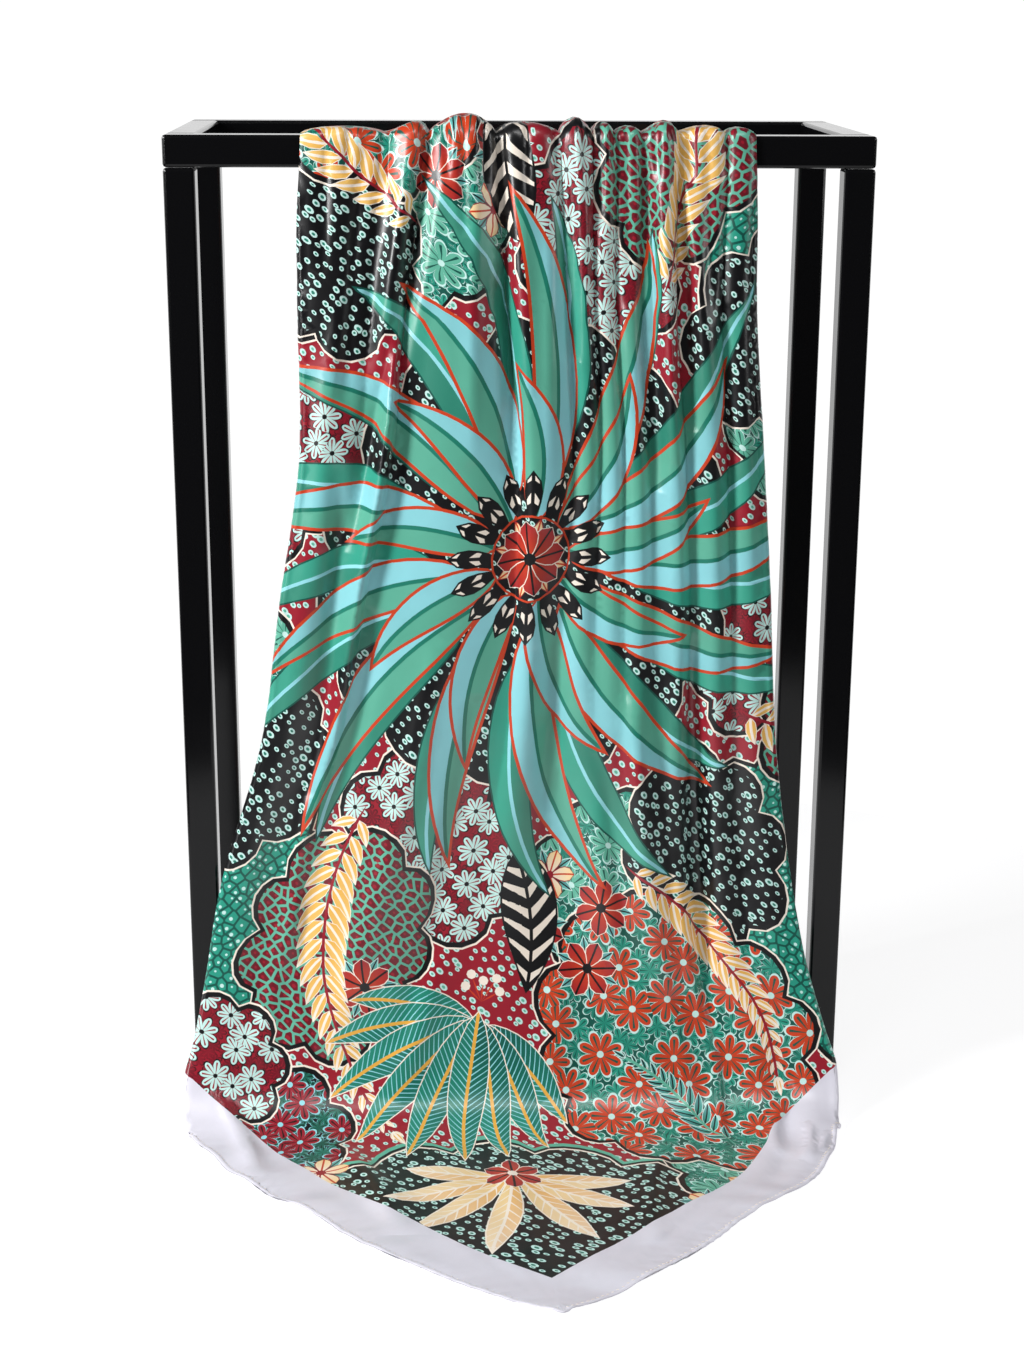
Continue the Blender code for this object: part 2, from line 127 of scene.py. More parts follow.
# Where the pleats below are measured, as heights of the front and drops of the back
TOE_RUN = 0.120
TURN_HEIGHT, LOW_HEIGHT, MIDDLE_HEIGHT, HIGH_HEIGHT = 0.030, 0.170, 0.330, 0.510
BEHIND_DROP, CORNER_DROP = 0.110, 0.300

# Creases between the pleats, as shares of the cloth's width at each level
CREASES = (
    # name, tip, toe, turn, low, middle, high, rail, behind, corner
    ("left edge", -1, -1, -1, -1, -1, -1, -1, -1, -1),
    ("outer left", -0.66, -0.70, -0.80, -0.86, -0.83, -0.74, -0.646, -0.62, -0.60),
    ("deep left", -0.36, -0.42, -0.60, -0.72, -0.68, -0.585, -0.445, -0.42, -0.40),
    ("left of centre", -0.12, -0.12, -0.16, -0.10, -0.05, -0.075, -0.147, -0.15, -0.14),
    ("centre", 0.12, 0.14, 0.20, 0.12, 0.15, 0.187, 0.138, 0.13, 0.12),
    ("short right", 0.28, 0.30, 0.36, 0.30, 0.29, 0.30, 0.278, 0.27, 0.26),
    ("thin right", 0.42, 0.44, 0.50, 0.42, 0.41, 0.40, 0.383, 0.38, 0.38),
    ("long right", 0.56, 0.56, 0.58, 0.53, 0.53, 0.51, 0.501, 0.50, 0.50),
    ("deep right", 0.70, 0.70, 0.66, 0.66, 0.69, 0.67, 0.659, 0.66, 0.66),
    ("outer right", 0.86, 0.86, 0.84, 0.85, 0.86, 0.87, 0.873, 0.87, 0.86),
    ("right edge", 1, 1, 1, 1, 1, 1, 1, 1, 1),
)

# Height of the pleat to the right of each crease but the last, in millimetres. A lean above 1 moves
# the pleat's crest to the right.
PLEATS = (
    # name, lean, tip, toe, turn, low, middle, high, rail, behind, corner
    ("left side", 1.0, 0, 0.4, 0.8, 1.4, 3.6, 4.8, 3.5, 3.0, 0),
    ("left ridge", 2.3, 0, 0.4, 1.2, 3.0, 8.5, 12.5, 7.0, 5.0, 0),
    ("crown", 1.2, 0, 0.8, 1.8, 3.0, 7.0, 12.0, 11.5, 8.0, 0.3),
    ("centre ridge", 0.8, 0, 0.5, 1.8, 4.4, 8.5, 12.0, 6.5, 5.0, 0.3),
    ("knob", 1.0, 0, 0.3, 0.5, 1.0, 3.4, 7.5, 9.5, 6.0, 0),
    ("small knob", 1.0, 0, 0.3, 0.5, 1.0, 3.0, 6.0, 6.5, 4.0, 0),
    ("dip", 1.0, 0, 0.4, 1.2, 2.4, 4.0, 6.4, 4.0, 3.0, 0),
    ("right ridge", 1.7, 0, 0.6, 2.8, 6.0, 7.6, 10.0, 7.5, 5.0, 0),
    ("right roll", 1.3, 0, 0.6, 3.2, 7.5, 8.0, 9.0, 4.5, 4.0, 0),
    ("right side", 1.0, 0, 0.4, 1.8, 3.4, 4.4, 6.0, 3.6, 3.0, 0),
)

# How sharp the creases are: 1 is a sharp valley and 2 a soft wave
SHARPNESS = ("creases", 2.0, 2.0, 2.0, 1.9, 1.5, 0.85, 0.70, 0.9, 2.0)

# Wide waves under the pleats: middle and half width as shares, then heights in millimetres
WAVES = (
    # name, middle, half width, tip, toe, turn, low, middle, high, rail, behind, corner
    ("left fall", -0.42, 0.45, 0, 0.3, 3.0, 7.5, 3.5, 0, 0, 1.0, 0.5),
    ("right belly", 0.45, 0.24, 0, 0.4, 4.0, 10.5, 4.5, 0, 0, 2.0, 0.3),
    ("left hip", -1.00, 0.22, 0, 0, 2.5, 4.5, 1.0, 0, 0, 0, 0),
    ("right hip", 1.00, 0.24, 0, 0, 2.5, 4.5, 1.0, 0, 0, 0, 0),
)

# Finer creases, listed one by one: from a run and X to a run and X, how far it bows, half its width,
# and how high it stands, all but the runs in millimetres. A trough has a height below 0.
FINE_FOLDS = (
    # name, run, X, run, X, bow, half width, height
    ("deep left trough", 0.925, -57, 0.640, -111, 2, 4.4, -5.0),
    ("beside the deep left", 0.905, -69, 0.740, -99, 0, 4.6, 2.0),
    ("deep left, inner side", 0.900, -46, 0.720, -80, 1, 5.4, 2.0),
    ("far left, upper", 0.915, -96, 0.730, -113, -3, 4.4, -2.8),
    ("far left, short", 0.915, -121, 0.820, -126, 0, 3.6, -2.2),
    ("far left, drag", 0.840, -104, 0.640, -134, -6, 6.5, 2.4),
    ("left side run", 0.700, -118, 0.470, -140, 5, 7.5, -4.0),
    ("crown trough", 0.920, -37, 0.845, -36, 0, 3.2, -2.8),
    ("crown side", 0.880, -27, 0.700, -31, -2, 5.5, 2.4),
    ("left of centre trough", 0.925, -13, 0.690, -7, 1, 3.4, -5.0),
    ("left of centre ridge", 0.890, -4, 0.575, 6, 3, 7.0, 4.0),
    ("centre trough", 0.920, 29, 0.765, 35, 1, 3.4, -4.2),
    ("centre ridge", 0.880, 18, 0.700, 20, 0, 5.5, 2.2),
    ("knob trough", 0.920, 49, 0.845, 51, 0, 3.0, -3.4),
    ("under the knob", 0.870, 42, 0.740, 47, 1, 4.6, 2.2),
    ("thin right trough", 0.918, 64, 0.800, 69, 1, 3.2, -3.0),
    ("right trough", 0.915, 75, 0.680, 91, 3, 4.0, -4.2),
    ("right trough, long", 0.920, 92, 0.720, 112, 3, 4.2, -4.6),
    ("right crest", 0.890, 85, 0.700, 100, 3, 4.8, 2.4),
    ("right crest, outer", 0.895, 101, 0.740, 121, 2, 4.6, 2.0),
    ("outer right trough", 0.920, 116, 0.790, 122, 0, 3.6, -2.8),
    ("outer right, lower", 0.800, 132, 0.600, 140, 2, 7.0, -2.0),
    ("pinch, left", 0.918, -83, 0.868, -86, 0, 2.8, -2.6),
    ("pinch, far left", 0.918, -108, 0.880, -109, 0, 2.6, -2.2),
    ("pinch, crown left", 0.922, -46, 0.878, -47, 0, 2.6, -2.2),
    ("pinch, crown right", 0.922, -25, 0.872, -24, 0, 2.6, -2.6),
    ("pinch, centre", 0.920, 3, 0.862, 4, 0, 2.8, -2.4),
    ("pinch, middle right", 0.920, 20, 0.880, 21, 0, 2.6, -2.0),
    ("pinch, knob", 0.922, 40, 0.884, 40, 0, 2.6, -2.6),
    ("pinch, small knob", 0.922, 57, 0.886, 58, 0, 2.4, -2.0),
    ("pinch, right", 0.918, 84, 0.876, 86, 0, 2.6, -2.4),
    ("pinch, far right", 0.918, 104, 0.872, 107, 0, 2.8, -2.4),
    ("pinch, right edge", 0.918, 128, 0.884, 130, 0, 2.6, -2.0),
    ("soft valley", 0.660, 16, 0.330, 38, -4, 12.0, -7.0),
    ("soft valley, right bank", 0.620, 44, 0.350, 62, -4, 10.0, 4.2),
    ("valley on the right", 0.580, 114, 0.290, 130, 2, 7.0, -7.0),
    ("bright ridge", 0.540, 74, 0.330, 108, -2, 10.0, 6.4),
    ("beside the bright ridge", 0.500, 56, 0.320, 80, 0, 7.5, -4.0),
    ("left diagonal", 0.580, -54, 0.290, -130, 6, 11.0, 5.2),
    ("left diagonal, under", 0.540, -28, 0.285, -82, 5, 9.0, -4.6),
    ("left diagonal, outer", 0.600, -92, 0.320, -162, 4, 8.0, -4.4),
    ("left edge, low", 0.400, -150, 0.270, -185, 0, 9.0, 3.0),
    ("right edge, low", 0.420, 158, 0.270, 176, 0, 8.0, 3.0),
    ("turn, left", 0.355, -60, 0.262, -84, 4, 10.0, 3.4),
    ("turn, right", 0.360, 34, 0.258, 26, -4, 10.0, 3.2),
    ("floor crescent", 0.262, 186, 0.196, 172, -6, 5.0, 3.0),
    ("floor crumple", 0.232, 196, 0.186, 188, 3, 4.0, 2.6),
    ("floor crumple, second", 0.222, 208, 0.196, 200, 0, 3.0, 1.8),
    ("floor ridge, left", 0.262, -205, 0.175, -176, 5, 7.0, 3.8),
    ("floor ridge, middle left", 0.225, -124, 0.100, -80, 6, 9.0, 2.8),
    ("floor ridge, middle", 0.215, -10, 0.075, 4, -5, 10.0, 2.2),
    ("floor ridge, right", 0.215, 98, 0.088, 78, -5, 8.0, 2.8),
    ("behind, left", 0.930, -104, 1.080, -88, 3, 6.0, -1.6),
    ("behind, left of centre", 0.930, -62, 1.140, -44, -3, 6.0, -2.0),
    ("behind, middle", 0.930, -8, 1.170, 4, 3, 6.0, -2.2),
    ("behind, crest", 0.940, 14, 1.130, 18, 0, 8.0, 2.4),
    ("behind, right of centre", 0.930, 52, 1.120, 42, -2, 6.0, -1.8),
    ("behind, right", 0.930, 96, 1.090, 82, 2, 6.0, -1.8),
)
# How low a crease may sink, in millimetres: height of the front and limit, then drop of the back
LIMITS = (
    (0.020, -0.2),
    (0.060, -2.0),
    (0.150, -5.0),
    (0.560, -5.0),
    (0.610, -3.6),
    (0.637, -0.3),
    (0.655, -0.2),
)
LIMITS_BEHIND = ((0.010, -0.2), (0.050, -0.3), (0.100, -1.0), (0.200, -1.4), (0.330, -0.5))

# The sides folded in behind the front: height, share of their width that shows, depth behind the
# front, depth where the right one passes behind the left one, height of their waves
FLAPS = (
    (0.005, 1.00, 0.0022, 0.0022, 0.0000),
    (0.020, 0.98, 0.0050, 0.0055, 0.0003),
    (0.060, 0.86, 0.0080, 0.0125, 0.0015),
    (0.150, 0.66, 0.0085, 0.0165, 0.0034),
    (0.264, 0.54, 0.0080, 0.0165, 0.0034),
    (0.361, 0.50, 0.0080, 0.0150, 0.0016),
    (0.500, 0.48, 0.0080, 0.0130, 0.0012),
    (0.600, 0.46, 0.0060, 0.0070, 0.0006),
    (0.6365, 0.44, 0.0009, 0.0009, 0.0000),
    (0.657, 0.44, 0.0008, 0.0008, 0.0000),
)
# The same sides behind the rail, by their drop: there they lie between the back corner and the stand
FLAPS_BEHIND = (
    (0.020, 0.44, 0.0008, 0.0008, 0.0000),
    (0.060, 0.46, 0.0016, 0.0016, 0.0000),
    (0.150, 0.55, 0.0030, 0.0030, 0.0004),
    (0.250, 0.80, 0.0020, 0.0020, 0.0000),
    (0.330, 0.95, 0.0010, 0.0010, 0.0000),
)
FLAP_WAVES = 3.5  # across one flap
FLAP_SETTLE = 0.050  # how far in from its fold a flap reaches its depth
OVERLAP_START = 0.130  # where the right flap starts to pass behind the left one
OVERLAP_END = 0.085
FLOOR_LIFT = 0.0022
HEM_FOLDS = TOE[-1][0]  # the run from which the sides are folded in
LEVEL_AGAIN = 0.350  # the run from which the toe's spread has settled
VALLEY_SHARPNESS = 4
LEAST_SHOWN = 0.3
FINE_FOLD_ENDS = 0.6  # below 1, a fine crease keeps its height almost to its ends
DEEP_LIMIT = -1.0  # where a crease may sink deeper than this, it goes past its limit by a quarter

# How finely the sheet is cut
TABLE_ROWS = 460
TABLE_PLACES = 2400
STATION_COUNTS = (101, 13, 91)  # across the front, round the fold and across the flap
STRETCH_ROWS = (27, 13, 23, 66, 5, 5, 5, 36)  # rows of points on each part of the course
PLEAT_COLUMNS = (0.0, 0.09, 0.25, 0.46, 0.66, 0.82, 0.94)  # places between one crease and the next
FOLD_COLUMNS = 4
FLAP_SPACING = 0.013
LEAST_FLAP = 2 * MM  # a narrower flap gets no points of its own
GRID_ROOM = 1.4 * MM  # about how near to each other two points may lie
FOLD_ROOM = 0.5 * MM
HEM_ROOM = 1.2 * MM
HEM_POINTS = 225
HEM_RINGS = (0.0, 5 * MM, 12 * MM)
FINE_FOLD_STEP = 6 * MM
FINE_FOLD_PLACES = (0.0, -1.4, -0.7, 0.7, 1.4)  # across a fine crease, in half widths; 0 is its line
FOLD_LINES = (1.0, 1.4, 1.7, 2.0)  # stations of the lines down a side fold
FOLD_RUNS = (0.200, 1.160, 7 * MM)
CREASE_RUNS = (0.290, 1.130, 6 * MM)
BEND_TOLERANCE = 0.60 * MM
SHORTEST_PART = 2.4 * MM
LONGEST_PART = 18 * MM
LEAST_EDGE = 0.05 * MM
BESIDE = 0.12 * MM  # how far from a printed line its two sides are looked at
LOOKS = (0.5, 0.12, 0.88)  # where along it
PROBE = 0.25 * MM

# Puckers and waves along the hem. They beat: their strength is a rest plus a share of the beat.
HEM_WRINKLES = (
    # height, how far in they fade, slant, pitch, wander, pitch of the wander, rest, share of the beat
    (0.36 * MM, 9 * MM, 0.5, 600, 3.0, 47, 0.0, 1.0),
    (0.50 * MM, 24 * MM, 0.5, 190, 2.4, 31, 1.0, -0.6),
    (1.30 * MM, 42 * MM, 0.3, 84, 2.2, 19, 1.0, 0.0),
)
HEM_FADE = 1.5
HEM_PHASES = (0.3, 1.9, 3.1, 4.7)
BEAT_PITCH, BEAT_WANDER_PITCH = 61, 23
UNEVENNESS = 0.18 * MM


def through(at: Array, places: Array, values: Array) -> Array:
    """Reads a smooth curve through the given values, with level ends.

    Args:
        at: Where to read it.
        places: Where the values lie.
        values: The values there.

    Returns:
        The curve's value at each place asked for.
    """
    places = np.asarray(places, float)
    values = np.asarray(values, float)
    at = np.clip(at, places[0], places[-1])
    slopes = np.gradient(values, places)
    slopes[0] = slopes[-1] = 0.0
    left = np.clip(np.searchsorted(places, at, side="right") - 1, 0, len(places) - 2)
    width = places[left + 1] - places[left]
    t = (at - places[left]) / width
    return (
        values[left] * (1 + 2 * t) * (1 - t) ** 2
        + values[left + 1] * t**2 * (3 - 2 * t)
        + width * (slopes[left] * t * (1 - t) ** 2 - slopes[left + 1] * t**2 * (1 - t))
    )


def ease(value: Array) -> Array:
    """From 0 to 1 with soft ends."""
    value = np.clip(value, 0.0, 1.0)
    return value * value * (3 - 2 * value)


def by_diagonal(u: Array, v: Array) -> tuple[Array, Array]:
    """Across and run of a place that is given along two sides of the square, or of a direction."""
    return (u - v) / math.sqrt(2), (u + v) / math.sqrt(2)


def column(table: tuple, index: int) -> Array:
    """One column of a table."""
    return np.array([row[index] for row in table])


class Course:
    """The cloth's middle line from the front corner to the back one, in the plane of Y and Z."""

    def __init__(self, height: float, tube: float) -> None:
        """Lays the line out.

        Args:
            height: The rail's top.
            tube: The rail's width.
        """
        self.height = height
        turn_rise = TURN_RADIUS * (1 - math.cos(TURN_ANGLE))
        turn_back = TURN_RADIUS * math.sin(TURN_ANGLE)
        sweep_rise = SWEEP_RADIUS * math.sin(SWEEP_ANGLE)
        sweep_back = SWEEP_RADIUS * (1 - math.cos(SWEEP_ANGLE))
        floor = TOE_REACH - RIDE - turn_back - sweep_back
        hang = height - TUBE_CORNER - FLOOR_RIDE - turn_rise - sweep_rise
        quarter = math.pi / 2
        self.parts = [
            (floor, 0.0),
            (TURN_RADIUS * TURN_ANGLE, TURN_ANGLE),
            (SWEEP_RADIUS * SWEEP_ANGLE, SWEEP_ANGLE),
            (hang, 0.0),
            (OVER_RADIUS * quarter, -quarter),
            (tube - 2 * TUBE_CORNER, 0.0),
            (OVER_RADIUS * quarter, -quarter),
        ]
        used = sum(length for length, _ in self.parts)
        self.parts.append((DIAGONAL - used, 0.0))
        self.starts = np.cumsum([0.0] + [length for length, _ in self.parts])
        self.floor_end = self.starts[1]
        self.hang_end = self.starts[4]
        self.rail_end = self.starts[7]
        knots = [(-TOE_REACH, FLOOR_RIDE, 0.0)]
        for length, angle in self.parts:
            y, z, heading = knots[-1]
            if angle:
                radius = length / angle
                y += radius * (math.sin(heading + angle) - math.sin(heading))
                z -= radius * (math.cos(heading + angle) - math.cos(heading))
            else:
                y += length * math.cos(heading)
                z += length * math.sin(heading)
            knots.append((y, z, heading + angle))
        self.knots = np.array(knots)

    def place(self, run: Array) -> tuple[Array, Array, Array]:
        """Y, Z and heading at a run."""
        run = np.asarray(run, float)
        index = np.clip(np.searchsorted(self.starts, run, side="right") - 1, 0, len(self.parts) - 1)
        length = np.array([part[0] for part in self.parts])[index]
        angle = np.array([part[1] for part in self.parts])[index]
        y, z, heading = (self.knots[index, k] for k in range(3))
        along = run - self.starts[index]
        turned = heading + angle * along / length
        straight = angle == 0
        radius = length / np.where(straight, 1.0, angle)
        y = y + np.where(straight, along * np.cos(heading), radius * (np.sin(turned) - np.sin(heading)))
        z = z + np.where(straight, along * np.sin(heading), radius * (np.cos(heading) - np.cos(turned)))
        return y, z, turned

    def at_height(self, height: Array) -> Array:
        """The run at which the front reaches a height."""
        runs = np.linspace(self.floor_end, self.hang_end, 2000)
        return np.interp(height, self.place(runs)[1], runs)

    def at_drop(self, drop: Array) -> Array:
        """The run at which the back has come down from the rail's top by a distance."""
        return self.rail_end - OVER_RADIUS + drop


class Drape:
    """Where each point of the flat square hangs.

    A station says how far out a point lies on its side of the diagonal: 0 to 1 is the front up to its
    edge, 1 to 2 is the turn round the side fold, and 2 to 3 is the flap behind, out to its hem.
    """

    def __init__(self, middle: float, front: float, height: float, tube: float) -> None:
        """Works out how far each station is from the diagonal, measured along the cloth.

        Args:
            middle: X of the middle of the front rail.
            front: Y of the front rail's front.
            height: The rail's top.
            tube: The rail's width.
        """
        self.offset = np.array([middle, front, 0.0])
        self.course = Course(height, tube)
        course = self.course
        self.levels = np.array(
            [
                0.0,
                TOE_RUN,
                course.at_height(TURN_HEIGHT),
                course.at_height(LOW_HEIGHT),
                course.at_height(MIDDLE_HEIGHT),
                course.at_height(HIGH_HEIGHT),
                (course.hang_end + course.rail_end) / 2,
                course.at_drop(BEHIND_DROP),
                course.at_drop(CORNER_DROP),
            ]
        )
        self.edge_runs = np.concatenate(
            [column(TOE, 0)[:-1], course.at_height(column(HANG, 0)), course.at_drop(column(BACK, 0)[1:])]
        )
        self.flap_runs = np.concatenate(
            [course.at_height(column(FLAPS, 0)), course.at_drop(column(FLAPS_BEHIND, 0))]
        )
        self.limit_runs = np.concatenate(
            [[0.0], course.at_height(column(LIMITS, 0)), course.at_drop(column(LIMITS_BEHIND, 0))]
        )
        self.limits = np.concatenate([[-0.2], column(LIMITS, 1), column(LIMITS_BEHIND, 1)])
        self.rows = np.unique(np.concatenate([np.linspace(0, DIAGONAL, TABLE_ROWS), course.starts[4:8]]))
        self.hem = np.minimum(self.rows, DIAGONAL - self.rows)
        self.radii = {-1: self.fold_radius(self.rows), 1: self.fold_radius(self.rows)}
        self.flap_widths = {-1: np.zeros(len(self.rows)), 1: np.zeros(len(self.rows))}
        self.forward: dict[int, Array] = {}
        self.inverse: dict[int, Array] = {}
        parts = [np.linspace(k, k + 1, count)[1:] for k, count in enumerate(STATION_COUNTS)]
        self.stations = np.concatenate([[0.0], *parts])
        for side in (-1, 1):
            self._measure(side)

    def _measure(self, side: int) -> None:
        """Fills the tables of one side, from station to flat distance and back."""
        rows = self.rows
        front = self.stations <= 1
        for _ in range(2):
            across = np.broadcast_to(self.stations[front], (len(rows), front.sum()))
            points = self.cloth(side * across, np.broadcast_to(rows[:, None], across.shape))
            steps = np.linalg.norm(np.diff(points, axis=1), axis=-1)
            arcs = np.concatenate([np.zeros((len(rows), 1)), np.cumsum(steps, axis=1)], axis=1)
            fitted = self.hem / np.maximum(arcs[:, -1], MM)
            at_fold = np.interp(HEM_FOLDS, rows, fitted)
            settling = ease((rows - HEM_FOLDS) / (LEVEL_AGAIN - HEM_FOLDS))
            spread = np.where(rows <= HEM_FOLDS, fitted, at_fold + (1 - at_fold) * settling)
            spread = np.minimum(spread, np.where(rows > HEM_FOLDS, fitted, spread))
            arcs = arcs * spread[:, None]
            beyond = np.maximum(self.hem - arcs[:, -1], 0.0)
            self.radii[side] = np.minimum(self.fold_radius(rows), beyond / 5)
            self.flap_widths[side] = np.maximum(beyond - math.pi * self.radii[side], 0.0)
        turn = self.stations[(self.stations > 1) & (self.stations <= 2)] - 1
        share = self.stations[self.stations > 2] - 2
        turned = arcs[:, -1:] + math.pi * self.radii[side][:, None] * turn[None, :]
        valley = np.abs(np.cos(math.pi * FLAP_WAVES * np.concatenate([[0.0], share]))) ** VALLEY_SHARPNESS
        shown = np.maximum(self.flap_value(rows, 1), LEAST_SHOWN)
        weights = share[0] * (1 + (1 / shown[:, None] - 1) * valley[None, 1:] / valley[1:].mean())
        weights /= weights.sum(axis=1, keepdims=True)
        flap = turned[:, -1:] + self.flap_widths[side][:, None] * np.cumsum(weights, axis=1)
        table = np.concatenate([arcs, turned, flap], axis=1)
        table = table / np.maximum(table[:, -1:], 1e-9)
        table[0] = table[1]
        table[-1] = table[-2]
        self.forward[side] = table
        places = np.linspace(0.0, 1.0, TABLE_PLACES + 1)
        rising = table + np.arange(table.shape[1])[None, :] * 1e-12
        self.inverse[side] = np.array([np.interp(places, row, self.stations) for row in rising])

    def at_level(self, row: tuple, run: Array, first: int = 1) -> Array:
        """A value that a table gives for each level, at a run."""
        return through(run, self.levels, row[first:])

    def fold_radius(self, run: Array) -> Array:
        """Radius of the side folds, where there is cloth enough."""
        runs = self.edge_runs[len(TOE) - 1 :]
        return through(run, runs, np.concatenate([column(HANG, 3), column(BACK, 3)[1:]]))

    def flap_value(self, run: Array, index: int) -> Array:
        """A column of the flaps' tables at a run."""
        values = np.concatenate([column(FLAPS, index), column(FLAPS_BEHIND, index)])
        return through(run, self.flap_runs, values)

    def edges(self, run: Array) -> list[Array]:
        """Left and right edge of the front at a run."""
        tables = (
            np.concatenate([column(TOE, side)[:-1], column(HANG, side), column(BACK, side)[1:]])
            for side in (1, 2)
        )
        return [through(run, self.edge_runs, table) for table in tables]

    def lift(self, share: Array, run: Array, x: Array) -> Array:
        """How far the cloth stands out from its middle line."""
        creases = [self.at_level(row, run) for row in CREASES]
        power = self.at_level(SHARPNESS, run)
        total = np.zeros(run.shape)
        for index, row in enumerate(PLEATS):
            across = np.clip((share - creases[index]) / (creases[index + 1] - creases[index]), 0.0, 1.0)
            total += self.at_level(row, run, 2) * np.sin(math.pi * across ** row[1]) ** power
        for row in WAVES:
            across = np.clip((share - row[1]) / row[2], -1.0, 1.0)
            total += self.at_level(row, run, 3) * (0.5 + 0.5 * np.cos(math.pi * across))
        for _, start, start_x, end, end_x, bow, half, height in FINE_FOLDS:
            along = (run - start) / (end - start)
            near = (along > 0) & (along < 1)
            if near.any():
                t = along[near]
                middle = start_x + (end_x - start_x) * t + bow * np.sin(math.pi * t)
                across = (x[near] / MM - middle) / (half * (0.8 + 0.4 * t))
                total[near] += height * np.exp(-(across**2)) * np.sin(math.pi * t) ** FINE_FOLD_ENDS
        limit = np.interp(run, self.limit_runs, self.limits)
        past = 0.25 * np.minimum(total - limit, 0.0) * (limit < DEEP_LIMIT)
        return np.maximum(total, limit + past) * MM

    def out_from_course(self, x: Array, run: Array, out: Array) -> Array:
        """A point at a distance out from the middle line, to the printed side."""
        y, z, heading = self.course.place(run)
        points = np.stack([x, y - out * np.sin(heading), z + out * np.cos(heading)], axis=-1)
        points[..., 2] = np.maximum(points[..., 2], FLOOR_RIDE - 0.35 * MM)
        return points + self.offset

    def row_value(self, values: dict[int, Array], side: Array, run: Array) -> Array:
        """A value kept for each row and side."""
        return np.where(side < 0, np.interp(run, self.rows, values[-1]), np.interp(run, self.rows, values[1]))

    def cloth(self, share: Array, run: Array) -> Array:
        """A point on the front, the rail or the back corner."""
        left, right = self.edges(run)
        left = left + np.interp(run, self.rows, self.radii[-1])
        right = right - np.interp(run, self.rows, self.radii[1])
        x = (left + right) / 2 + share * (right - left) / 2
        return self.out_from_course(x, run, self.lift(share, run, x))

    def folded_side(self, side: Array, turn: Array, run: Array) -> Array:
        """A point round a side fold: a turn of 0 is the front, and pi the back."""
        left, right = self.edges(run)
        edge = np.where(side < 0, left, right)
        radius = self.row_value(self.radii, side, run)
        x = edge + side * radius * (np.sin(turn) - 1)
        out = self.lift(side.astype(float), run, edge - side * radius) - radius * (1 - np.cos(turn))
        return self.out_from_course(x, run, out)

    def flap(self, side: Array, share: Array, run: Array) -> Array:
        """A point on a side that is folded in behind: a share of 0 is at its fold, 1 at its hem."""
        left, right = self.edges(run)
        edge = np.where(side < 0, left, right)
        radius = self.row_value(self.radii, side, run)
        inward = share * self.row_value(self.flap_widths, side, run)
        shown, depth, deeper, wave = (self.flap_value(run, k) for k in (1, 2, 3, 4))
        x = edge - side * (radius + inward * shown)
        crossing = ease((OVERLAP_START - x) / (OVERLAP_START - OVERLAP_END))
        depth = np.where(side > 0, depth + (deeper - depth) * crossing, depth)
        start = self.lift(side.astype(float), run, edge - side * radius) - 2 * radius
        settled = ease(inward / FLAP_SETTLE)
        waves = wave * settled * np.sin(math.pi * FLAP_WAVES * share) ** 2
        points = self.out_from_course(x, run, start + (-depth - start) * settled - waves)
        on_front = run < self.course.hang_end
        points[..., 2] = np.where(on_front, np.maximum(points[..., 2], FLOOR_LIFT), points[..., 2])
        return points

    def point(self, side: Array, station: Array, run: Array) -> Array:
        """A point of the middle of the cloth at its station."""
        result = np.empty(station.shape + (3,))
        front = station <= 1
        turn = (station > 1) & (station <= 2)
        behind = station > 2
        if front.any():
            result[front] = self.cloth((side * station)[front], run[front])
        if turn.any():
            result[turn] = self.folded_side(side[turn], math.pi * (station[turn] - 1), run[turn])
        if behind.any():
            result[behind] = self.flap(side[behind], station[behind] - 2, run[behind])
        return result

    def station(self, side: Array, share: Array, run: Array) -> Array:
        """The station at a share of the way from the diagonal to the hem."""
        row = np.interp(run, self.rows, np.arange(len(self.rows)))
        low = np.clip(row.astype(int), 0, len(self.rows) - 2)
        place = np.clip(share, 0.0, 1.0) * TABLE_PLACES
        near = np.clip(place.astype(int), 0, TABLE_PLACES - 1)
        row, place = row - low, place - near
        result = np.zeros(run.shape)
        for key in (-1, 1):
            table = self.inverse[key]
            upper = table[low, near] * (1 - place) + table[low, near + 1] * place
            lower = table[low + 1, near] * (1 - place) + table[low + 1, near + 1] * place
            result = np.where(side == key, upper * (1 - row) + lower * row, result)
        return result

    def hung(self, across: Array, run: Array) -> Array:
        """Where a point of the flat square hangs."""
        run = np.clip(run, 0.0, DIAGONAL)
        hem = np.maximum(np.minimum(run, DIAGONAL - run), 1e-6)
        side = np.where(across < 0, -1, 1)
        return self.point(side, self.station(side, np.abs(across) / hem, run), run)

    def surface(self, across: Array, run: Array) -> tuple[Array, Array]:
        """Hangs points of the flat square, with their fine wrinkles.

        Args:
            across: Their places across the diagonal.
            run: Their runs along it.

        Returns:
            The points, and which way the printed side faces there.
        """
        sideways = self.hung(across + PROBE, run) - self.hung(across - PROBE, run)
        lengthways = self.hung(across, run + PROBE) - self.hung(across, run - PROBE)
        normal = np.cross(sideways, lengthways)
        size = np.linalg.norm(normal, axis=-1, keepdims=True)
        normal = np.where(size > 1e-16, normal / np.maximum(size, 1e-16), np.array([0.0, 0.0, 1.0]))
        slope_across = (wrinkles(across + PROBE, run) - wrinkles(across - PROBE, run))[:, None]
        slope_along = (wrinkles(across, run + PROBE) - wrinkles(across, run - PROBE))[:, None]
        points = self.hung(across, run) + normal * wrinkles(across, run)[:, None]
        tilt = sideways * slope_across / np.maximum((sideways**2).sum(-1, keepdims=True), 1e-12)
        tilt = tilt + lengthways * slope_along / np.maximum((lengthways**2).sum(-1, keepdims=True), 1e-12)
        normal = normal - tilt
        return points, normal / np.linalg.norm(normal, axis=-1, keepdims=True)


